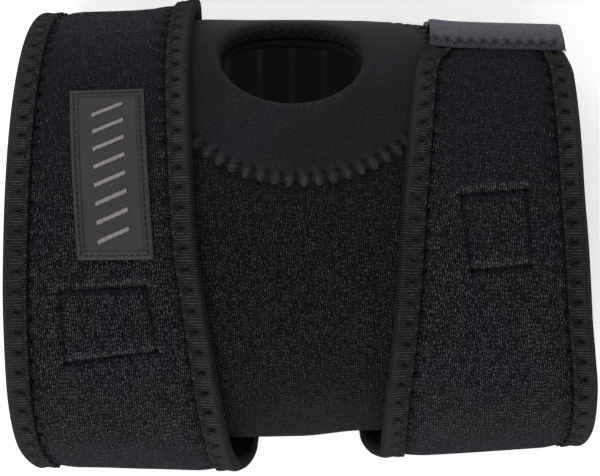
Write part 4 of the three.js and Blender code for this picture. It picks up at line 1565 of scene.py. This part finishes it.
def tape_outline():
    """Across from the free edge and height, out over the fold and back inside it."""
    outline = [(TAPE_COVER, BAND_HALF - LIP_LOW), (TAPE_COVER - LIP_WIDE, BAND_HALF)]
    top = np.linspace(TAPE_COVER - TOP_INNER_GAP, TAPE_ROLL + TOP_OUTER_GAP, TOP_POINTS)
    outline += [(a, BAND_HALF) for a in top]
    for step in range(ROLLED_STEPS + 1):
        a = math.pi / 2 - step / ROLLED_STEPS * math.pi
        outline.append((TAPE_ROLL * (1 - math.cos(a)), BAND_HALF * math.sin(a)))
    under = np.linspace(TAPE_ROLL + UNDER_OUTER_GAP, TAPE_COVER - UNDER_INNER_GAP, UNDER_POINTS)
    outline += [(a, -BAND_HALF) for a in under]
    inside = BAND_HALF - TAPE_THICK
    outline.append((TAPE_COVER, -inside))
    for step in range(LINED_STEPS + 1):
        a = -math.pi / 2 + step / LINED_STEPS * math.pi
        outline.append((TAPE_THICK + inside * (1 - math.cos(a)), inside * math.sin(a)))
    outline.append((TAPE_COVER, inside))
    return np.array(outline)


def make_tape_piece(name, node, strap, at_inner):
    share = 1.0 if at_inner else 0.0
    start = strap.seam_turn(share) + SEAM_GAP / strap.round
    around = (strap.tail - start) * strap.round
    stations = int(around / STATION_STEP)
    turn = np.linspace(start, strap.tail, stations)[:, None]
    wide = strap.wide(turn)
    outline = tape_outline()
    from_edge = np.broadcast_to(outline[None, :, 0], (stations, len(outline)))
    high = np.broadcast_to(outline[None, :, 1], from_edge.shape)
    arc = turn * strap.round
    phase = arc / BINDING_PITCH
    along = past_whole(phase) * BINDING_PITCH
    between = past_half(phase) * BINDING_PITCH
    on_top = smooth(DIPS_START, DIPS_FULL, high)
    from_inner = from_edge - TAPE_COVER
    dip = HOLE_DIP * hump(np.hypot(along, from_edge - BINDING_IN), HOLE_DIP_WIDE)
    dip = dip + NOTCH_DIP * hump(between, NOTCH_LONG) * hump(from_inner, NOTCH_WIDE)
    dip = dip - TAPE_SWELL * np.cos(phase * TURN) * hump(from_inner, TAPE_SWELL_WIDE)
    dip = dip - ROLL_HIGH * hump(from_edge - ROLL_PLACE, ROLL_WIDE)
    dip = dip + TROUGH_DEEP * hump(from_edge - TROUGH_PLACE, TROUGH_WIDE)
    across = wide - from_edge if at_inner else from_edge
    points = strap.place(across, high - on_top * dip, turn)
    columns = len(outline)
    run = np.concatenate([[0], np.cumsum(np.hypot(*np.diff(outline, axis=0).T))])
    maps = np.full((stations, columns + 1, 4), FAR)
    maps[:, :-1, 0] = run
    maps[:, -1, 0] = run[-1] + 2 * TAPE_THICK
    maps[:, :, 1] = arc
    maps[:, :-1, 2] = np.where(outline[:, 1] > BAND_HALF - MARKS_DOWN, outline[:, 0], FAR)
    maps[:, -4:, 2] = FAR
    maps[:, :, 3] = phase
    flip = (strap.side > 0) == at_inner
    data = close_ends(points, maps, grid_mesh(points, maps, wrap_columns=True, flip=flip), flip)
    tape_cloth = INNER_TAPE_CLOTH if at_inner else OUTER_TAPE_CLOTH
    piece = make_piece(name, data, [tape_cloth], [node], ["edge"])


# Thread stitches: each one rises out of the cloth, crosses it and dives again
STITCH_STEPS = 9
THREAD_SIDES = 6

# Length of the cloth map along one stitch
STITCH_MAP = 4.0

# For each kind of seam, how deep its thread's ends are sunk, how far it rises, and its half thickness
BAND_SUNK, BAND_RISE, BAND_THREAD_HALF = 1.0, 0.85, 0.18
PANEL_SUNK, PANEL_RISE, PANEL_THREAD_HALF = 0.85, 0.92, 0.19
TAB_SUNK, TAB_RISE, TAB_THREAD_HALF = 0.8, 0.8, 0.13
RIM_SUNK, RIM_RISE, RIM_THREAD_HALF = 0.35, 0.4, 0.2

# Depths of the rim's zigzag, and how far into the hole its thread faces
RIM_HIGH_ROW, RIM_LOW_ROW = 2.4, 4.2
RIM_FACES = 3.0

# Bare ends of a strap's stitching, which stops this much of a turn past the tab's tip, and of a tab's
BARE_START, BARE_END, LAST_TURN = 3.0, 6.0, 0.98
TAB_BARE = 5.0

# The thread steps down off the tape over this, lies lower on the sleeve, and bites into the tab
STEP_DOWN = 1.5
SLEEVE_LOW, SLEEVE_LOW_FROM = 0.35, 0.2
TAB_BITE_DEEP = 0.15


def thread_mesh(paths, normals, radius):
    """Paths and normals by stitch and by step."""
    ahead = np.gradient(paths, axis=1)
    ahead /= np.linalg.norm(ahead, axis=2)[..., None]
    sideways = np.cross(ahead, normals)
    sideways /= np.linalg.norm(sideways, axis=2)[..., None]
    up = np.cross(sideways, ahead)
    count, steps = paths.shape[:2]
    angle = np.arange(THREAD_SIDES) / THREAD_SIDES * TURN
    ring = up[:, :, None, :] * np.cos(angle)[:, None] + sideways[:, :, None, :] * np.sin(angle)[:, None]
    points = paths[:, :, None, :] + ring * radius
    faces, corners = grid_faces(steps, THREAD_SIDES, False, True, False)
    run = np.linspace(0, STITCH_MAP, steps)
    uv = np.stack([np.stack([run[a], b / THREAD_SIDES], 1) for a, b in corners], 1)
    base = (np.arange(count) * steps * THREAD_SIDES)[:, None, None]
    all_faces = (faces[None] + base).reshape(-1, 4).tolist()
    all_uv = np.broadcast_to(uv[None], (count,) + uv.shape).reshape(-1, 2)
    caps = []
    for k in range(count):
        low = k * steps * THREAD_SIDES
        high = low + (steps - 1) * THREAD_SIDES
        caps.append([low + j for j in range(THREAD_SIDES)])
        caps.append([high + j for j in reversed(range(THREAD_SIDES))])
    cap_uv = np.zeros((len(caps) * THREAD_SIDES, 2))
    return points.reshape(-1, 3), all_faces + caps, np.concatenate([all_uv, cap_uv])


def zigzag(first, last, pitch, near, far, offset=0.0):
    """Each stitch as steps of (along, across), from near to far and back."""
    ends = []
    for k in range(first, last):
        a = offset + k * pitch
        ends.append((a, near, a + pitch / 2, far))
        ends.append((a + pitch / 2, far, a + pitch, near))
    ends = np.array(ends)
    t = np.linspace(0, 1, STITCH_STEPS)[None, :]
    along = ends[:, 0:1] * (1 - t) + ends[:, 2:3] * t
    across = ends[:, 1:2] * (1 - t) + ends[:, 3:4] * t
    arch = np.sin(math.pi * t) ** 0.5
    return along, across, arch


def unit(vectors):
    return vectors / np.linalg.norm(vectors, axis=2)[..., None]


def strap_stitches(strap, at_inner):
    begin = strap.seam_turn(1.0 if at_inner else 0.0) * strap.round + BARE_START
    end = (strap.tip + LAST_TURN) * strap.round - BARE_END
    first, last = math.ceil(begin / BINDING_PITCH), math.floor(end / BINDING_PITCH)
    arc, from_edge, arch = zigzag(first, last, BINDING_PITCH, BINDING_IN, BINDING_OUT)
    turn = arc / strap.round
    wide = strap.wide(turn)
    across = wide - from_edge if at_inner else from_edge
    share = smooth(TAPE_COVER - STEP_DOWN, BINDING_OUT, from_edge)
    level = BAND_HALF * (1 - share) + strap_top(from_edge, wide) * share
    path = strap.place(across, level - BAND_SUNK + BAND_RISE * arch, turn)
    normal = strap.place(across, level + 1.0, turn) - strap.place(across, level, turn)
    return thread_mesh(path, unit(normal), BAND_THREAD_HALF)


def panel_stitches():
    """Zigzag round the panel's seam."""
    count, grown, arch = zigzag(0, PANEL_STITCHES, 1.0, -SEAM_IN, SEAM_OUT, 0.5)
    angle = count / PANEL_STITCHES * TURN
    x = (PANEL_RADIUS + grown) * np.cos(angle)
    arc = KNEECAP_ARC + (PANEL_RADIUS + grown) * np.sin(angle)
    turn = turns_of(arc, x)
    lift = seam_pucker(count, np.minimum(grown, 0.0))
    lift = lift - SLEEVE_LOW * smooth(SLEEVE_LOW_FROM, SEAM_OUT, grown)
    path = off_skin(x, turn, lift - PANEL_SUNK + PANEL_RISE * arch)
    normal = off_skin(x, turn, 1.0) - off_skin(x, turn, 0.0)
    return thread_mesh(path, unit(normal), PANEL_THREAD_HALF)


def rim_stitches():
    """Zigzag just inside the hole's edge, where the jersey is turned down."""
    count, deep, arch = zigzag(0, RIM_STITCHES, 1.0, RIM_HIGH_ROW, RIM_LOW_ROW)
    angle = count / RIM_STITCHES * TURN
    x, arc = hole_at(angle, RIM_SUNK - RIM_RISE * arch)
    turn = turns_of(arc, x)
    path = off_skin(x, turn, -deep)
    centre_x, centre_arc = hole_at(angle, -RIM_FACES)
    normal = off_skin(centre_x, turns_of(centre_arc, centre_x), -deep) - path
    return thread_mesh(path, unit(normal), RIM_THREAD_HALF)


def tab_stitches(strap):
    """Zigzag along the seam that holds the hook tab to the strap."""
    wide = float(strap.wide(strap.seam))
    count = int((wide - TAB_BARE) / TAB_PITCH)
    across, back, arch = zigzag(0, count, TAB_PITCH, TAB_HOLES, TAB_BITE, TAB_FIRST)
    turn = strap.seam_turn(across / wide) - back / strap.round
    level = BAND_HALF + SNUG + TAB_SHOWN - TAB_BITE_DEEP
    path = strap.place(across, level - TAB_SUNK + TAB_RISE * arch, turn)
    normal = strap.place(across, level + 1.0, turn) - strap.place(across, level, turn)
    return thread_mesh(path, unit(normal), TAB_THREAD_HALF)


# Hook tabs and badge are thin plates: two faces and the edge between them
TAB_STEP = 0.6
TAB_COLUMNS = 90
TAB_THINNEST = 0.15

# How much more than the band's thickness a tab drops past the strap's end
TAB_DROP = 0.9
TAB_DROP_LEAN = 1.2

# A tab's soft edges, its needle dips, and its height above the band at its seam
TAB_SIDE_SOFT, TAB_SIDE_REACH = 0.45, 0.5
TAB_END_SOFT, TAB_END_REACH = 0.8, 0.7
TAB_DIP, TAB_DIP_REACH = 0.6, 1.0
TAB_SEAM_HIGH, TAB_SEAM_REACH = 0.3, 1.2


def plate_mesh(outer, inner, maps, flip):
    rows, columns = outer.shape[:2]
    top = grid_mesh(outer, maps, flip=flip)
    low = grid_mesh(inner, maps, flip=not flip)
    points, faces, uv = join([top, low])
    count = rows * columns
    ring = list(range(columns))
    ring += [i * columns + columns - 1 for i in range(1, rows)]
    ring += [(rows - 1) * columns + j for j in range(columns - 2, -1, -1)]
    ring += [i * columns for i in range(rows - 2, 0, -1)]
    flat = maps.reshape(-1, maps.shape[-1])
    walls, wall_uv = [], []
    for k, a in enumerate(ring):
        b = ring[(k + 1) % len(ring)]
        face, corners = [a, b, b + count, a + count], [a, b, b, a]
        walls.append(face if flip else face[::-1])
        wall_uv += [flat[i] for i in (corners if flip else corners[::-1])]
    return points, faces + walls, np.concatenate([uv, np.array(wall_uv)])


def make_tab(name, node, strap):
    rows = int(strap.tab / TAB_STEP)
    down = np.linspace(0, 1, rows)[:, None]
    share = np.linspace(0, 1, TAB_COLUMNS)[None, :]
    turn = strap.seam + (strap.tip - strap.seam) * down
    slanted = turn + (strap.seam_turn(share) - strap.seam)
    seat = read(strap.seat, 1, down)
    wide = strap.wide(slanted)
    drop = (1 - seat) * (2 * BAND_HALF + TAB_DROP + TAB_DROP_LEAN * (1 - share))
    side_soft = TAB_SIDE_SOFT * np.exp(-np.minimum(share, 1 - share) * wide / TAB_SIDE_REACH)
    end_soft = TAB_END_SOFT * np.exp(-(1 - down) * strap.tab / TAB_END_REACH)
    across = share * wide
    from_seam = down * strap.tab
    count = (across - TAB_FIRST) / TAB_PITCH
    along = past_whole(count) * TAB_PITCH
    pucker = TAB_DIP * hump(np.hypot(along, from_seam - TAB_HOLES), TAB_DIP_REACH)
    base = BAND_HALF + SNUG - drop
    rise = TAB_SHOWN + BAND_HALF + SNUG - STRAP_HALF - TAB_SEAM_HIGH
    bend = rise * hump(from_seam, TAB_SEAM_REACH)
    high = base + TAB_SHOWN - (side_soft + end_soft) - pucker - bend
    outer = strap.place(across, high, slanted)
    inner = strap.place(across, np.minimum(base, high - TAB_THINNEST), slanted)
    maps = np.zeros(outer.shape[:2] + (4,))
    maps[..., 0], maps[..., 1] = across, slanted * strap.round
    maps[..., 2], maps[..., 3] = from_seam, count
    data = plate_mesh(outer, inner, maps, strap.side < 0)
    piece = make_piece(name, data, [HOOK_CLOTH], [node], ["edge"])


# Badge: a rubber plate with a raised frame, a dashed groove and plain slanted bars
BAR_PITCH = 6.1
BAR_COUNT = 8
BAR_REACH = 5.1
BAR_LEAN = 0.42
BADGE_ROWS = 190
BADGE_COLUMNS = 80
DASH_PITCH = 2.1

# Heights on the badge: its field as a share of its thickness, its frame, groove and bars
FIELD_SHARE = 0.62
FRAME_HIGH = 0.42
GROOVE_DEEP, GROOVE_WIDE = 0.45, 0.36
BAR_HIGH, BAR_FLAT, BAR_FOOT = 0.34, 0.75, 0.95
FRAME_INNER, FRAME_OUTER = 0.15, 0.25
LIP_ROUND, LIP_ROUND_WIDE = 0.5, 0.35
BADGE_UNDER = 0.05

# A short piece of a turn, and how high off the skin its length is taken
SPAN_TURNS = 0.02
SPAN_HIGH = 5.0


def make_badge():
    middle = BADGE_FROM_EDGE + BADGE_LEAN / 2
    x_middle = THIGH.edge + middle
    centre = float(turns_of(BADGE_ARC, x_middle))
    ahead = off_skin(x_middle, centre + SPAN_TURNS / 2, SPAN_HIGH)
    span = np.linalg.norm(ahead - off_skin(x_middle, centre - SPAN_TURNS / 2, SPAN_HIGH))
    half_turns = (BADGE_LENGTH / 2) * SPAN_TURNS / float(span)
    along = np.linspace(-1, 1, BADGE_ROWS)[:, None]
    across = np.linspace(0, BADGE_WIDTH, BADGE_COLUMNS)[None, :]
    turn = centre + half_turns * along
    long = along * BADGE_LENGTH / 2
    to_side = np.minimum(across, BADGE_WIDTH - across)
    to_end = BADGE_LENGTH / 2 - np.abs(long)
    edge = np.minimum(to_side, to_end)
    raised = 1 - smooth(BADGE_FRAME - FRAME_OUTER, BADGE_FRAME + FRAME_INNER, edge)
    run = np.where(to_side < to_end, long, across - BADGE_WIDTH / 2)
    groove = GROOVE_DEEP * hump(edge - BADGE_GROOVE, GROOVE_WIDE)
    slope = long + (across - BADGE_WIDTH / 2) * BAR_LEAN
    which = np.round(slope / BAR_PITCH + 0.5) - 0.5
    off_bar = np.abs(slope - which * BAR_PITCH)
    inside_bar = (np.abs(which) < BAR_COUNT / 2) & (np.abs(across - BADGE_WIDTH / 2) < BAR_REACH)
    bar = np.where(inside_bar, 1 - smooth(BAR_FLAT, BAR_FOOT, off_bar), 0.0)
    lip = LIP_ROUND * hump(edge, LIP_ROUND_WIDE)
    field = BADGE_THICK * FIELD_SHARE
    high = field + FRAME_HIGH * raised - groove * raised + BAR_HIGH * bar - lip
    lean = BADGE_LEAN * along / 2
    place = BADGE_FROM_EDGE - BADGE_WIDTH / 2 + lean + across - THIGH.value(PULL, turn) * THIGH.width
    seat = STRAP_HALF + SEAM_GAP
    outer = THIGH.place(place, seat + high, turn)
    inner = THIGH.place(place, seat + BADGE_UNDER, turn)
    maps = np.stack(np.broadcast_arrays(across, long, edge, run / DASH_PITCH), -1)
    points, faces, uv = plate_mesh(outer, inner, maps, True)
    tall = np.zeros(len(points), bool)
    tall[:bar.size] = bar.ravel() > 0.5
    marks = [1 if all(tall[i] for i in face) else 0 for face in faces]
    data = (points, faces, uv, marks)
    make_piece("rubber_badge", data, [BADGE_FIELD, BADGE_BARS], ["label_badge"], ["edge"])


make_sleeve()
make_panel()
make_ring()
make_strap("thigh_band", "thigh_strap", THIGH, THIGH_BOX, seed=11)
make_strap("calf_band", "calf_strap", CALF, CALF_BOX, seed=12)
TAPE_EDGES = [
    ("thigh_outer", THIGH, False), ("thigh_inner", THIGH, True),
    ("calf_outer", CALF, False), ("calf_inner", CALF, True),
]
for place_name, strap, at_inner in TAPE_EDGES:
    make_tape_piece(place_name + "_tape", place_name + "_binding", strap, at_inner)
make_tab("calf_tab", "calf_hook_tab", CALF)
make_tab("thigh_tab", "thigh_hook_tab", THIGH)
make_badge()

for place_name, strap, at_inner in TAPE_EDGES:
    make_piece(place_name + "_stitching", strap_stitches(strap, at_inner), [THREAD])
make_piece("panel_stitching", panel_stitches(), [SEAM_THREAD])
make_piece("rim_stitching", rim_stitches(), [THREAD])
make_piece("tab_stitching", tab_stitches(CALF), [TAB_THREAD])


# Floor, camera and light. Their places are in metres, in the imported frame.
FLOOR_HALF = 3.0
FLOOR_GLOW = 0.36
WORLD_GLOW = 0.33
LENS_WIDTH = 36.0
LENS_LENGTH = 96.72
CAMERA_PLACE = (-1.983 * MM, -2.682 * MM, 0.62)
LIGHT_AIM = (0.0, 0.0, 0.05)


def make_floor():
    mesh = bpy.data.meshes.new("studio_floor")
    corners = [(x * FLOOR_HALF, y * FLOOR_HALF, 0) for x, y in ((-1, -1), (1, -1), (1, 1), (-1, 1))]
    mesh.from_pydata(corners, [], [(0, 1, 2, 3)])
    floor = bpy.data.objects.new("studio_floor", mesh)
    bpy.context.scene.collection.objects.link(floor)
    material = bpy.data.materials.new("pale_floor")
    material.use_nodes = True
    shader = material.node_tree.nodes["Principled BSDF"]
    shader.inputs["Base Color"].default_value = grey(0.93)
    shader.inputs["Roughness"].default_value = 0.9
    shader.inputs["Specular IOR Level"].default_value = 0.1
    shader.inputs["Emission Color"].default_value = grey(1.0)
    shader.inputs["Emission Strength"].default_value = FLOOR_GLOW
    mesh.materials.append(material)


def make_camera():
    data = bpy.data.cameras.new("photo_camera")
    data.sensor_width = LENS_WIDTH
    data.lens = LENS_LENGTH
    data.clip_start = 0.01
    camera = bpy.data.objects.new("photo_camera", data)
    camera.location = CAMERA_PLACE
    camera.rotation_euler = (0.0, 0.0, 0.0)
    bpy.context.scene.collection.objects.link(camera)
    bpy.context.scene.camera = camera


def make_light(name, place, size, watts):
    data = bpy.data.lights.new(name, "AREA")
    data.shape = "RECTANGLE"
    data.size, data.size_y = size
    data.energy = watts
    light = bpy.data.objects.new(name, data)
    light.location = place
    away = np.array(place) - np.array(LIGHT_AIM)
    light.rotation_euler = Vector(away.tolist()).to_track_quat("Z", "Y").to_euler()
    light.visible_camera = False
    bpy.context.scene.collection.objects.link(light)


def make_world():
    world = bpy.data.worlds.new("studio_world")
    world.use_nodes = True
    background = world.node_tree.nodes["Background"]
    background.inputs["Color"].default_value = grey(1.0)
    background.inputs["Strength"].default_value = WORLD_GLOW
    bpy.context.scene.world = world


make_floor()
make_camera()
make_world()
make_light("far_side_light", place=(-0.3, 0.84, 0.78), size=(1.2, 0.7), watts=7.0)
make_light("near_side_light", place=(-0.2, -0.74, 0.86), size=(0.9, 0.5), watts=9.0)
bpy.context.scene.view_settings.view_transform = "Standard"
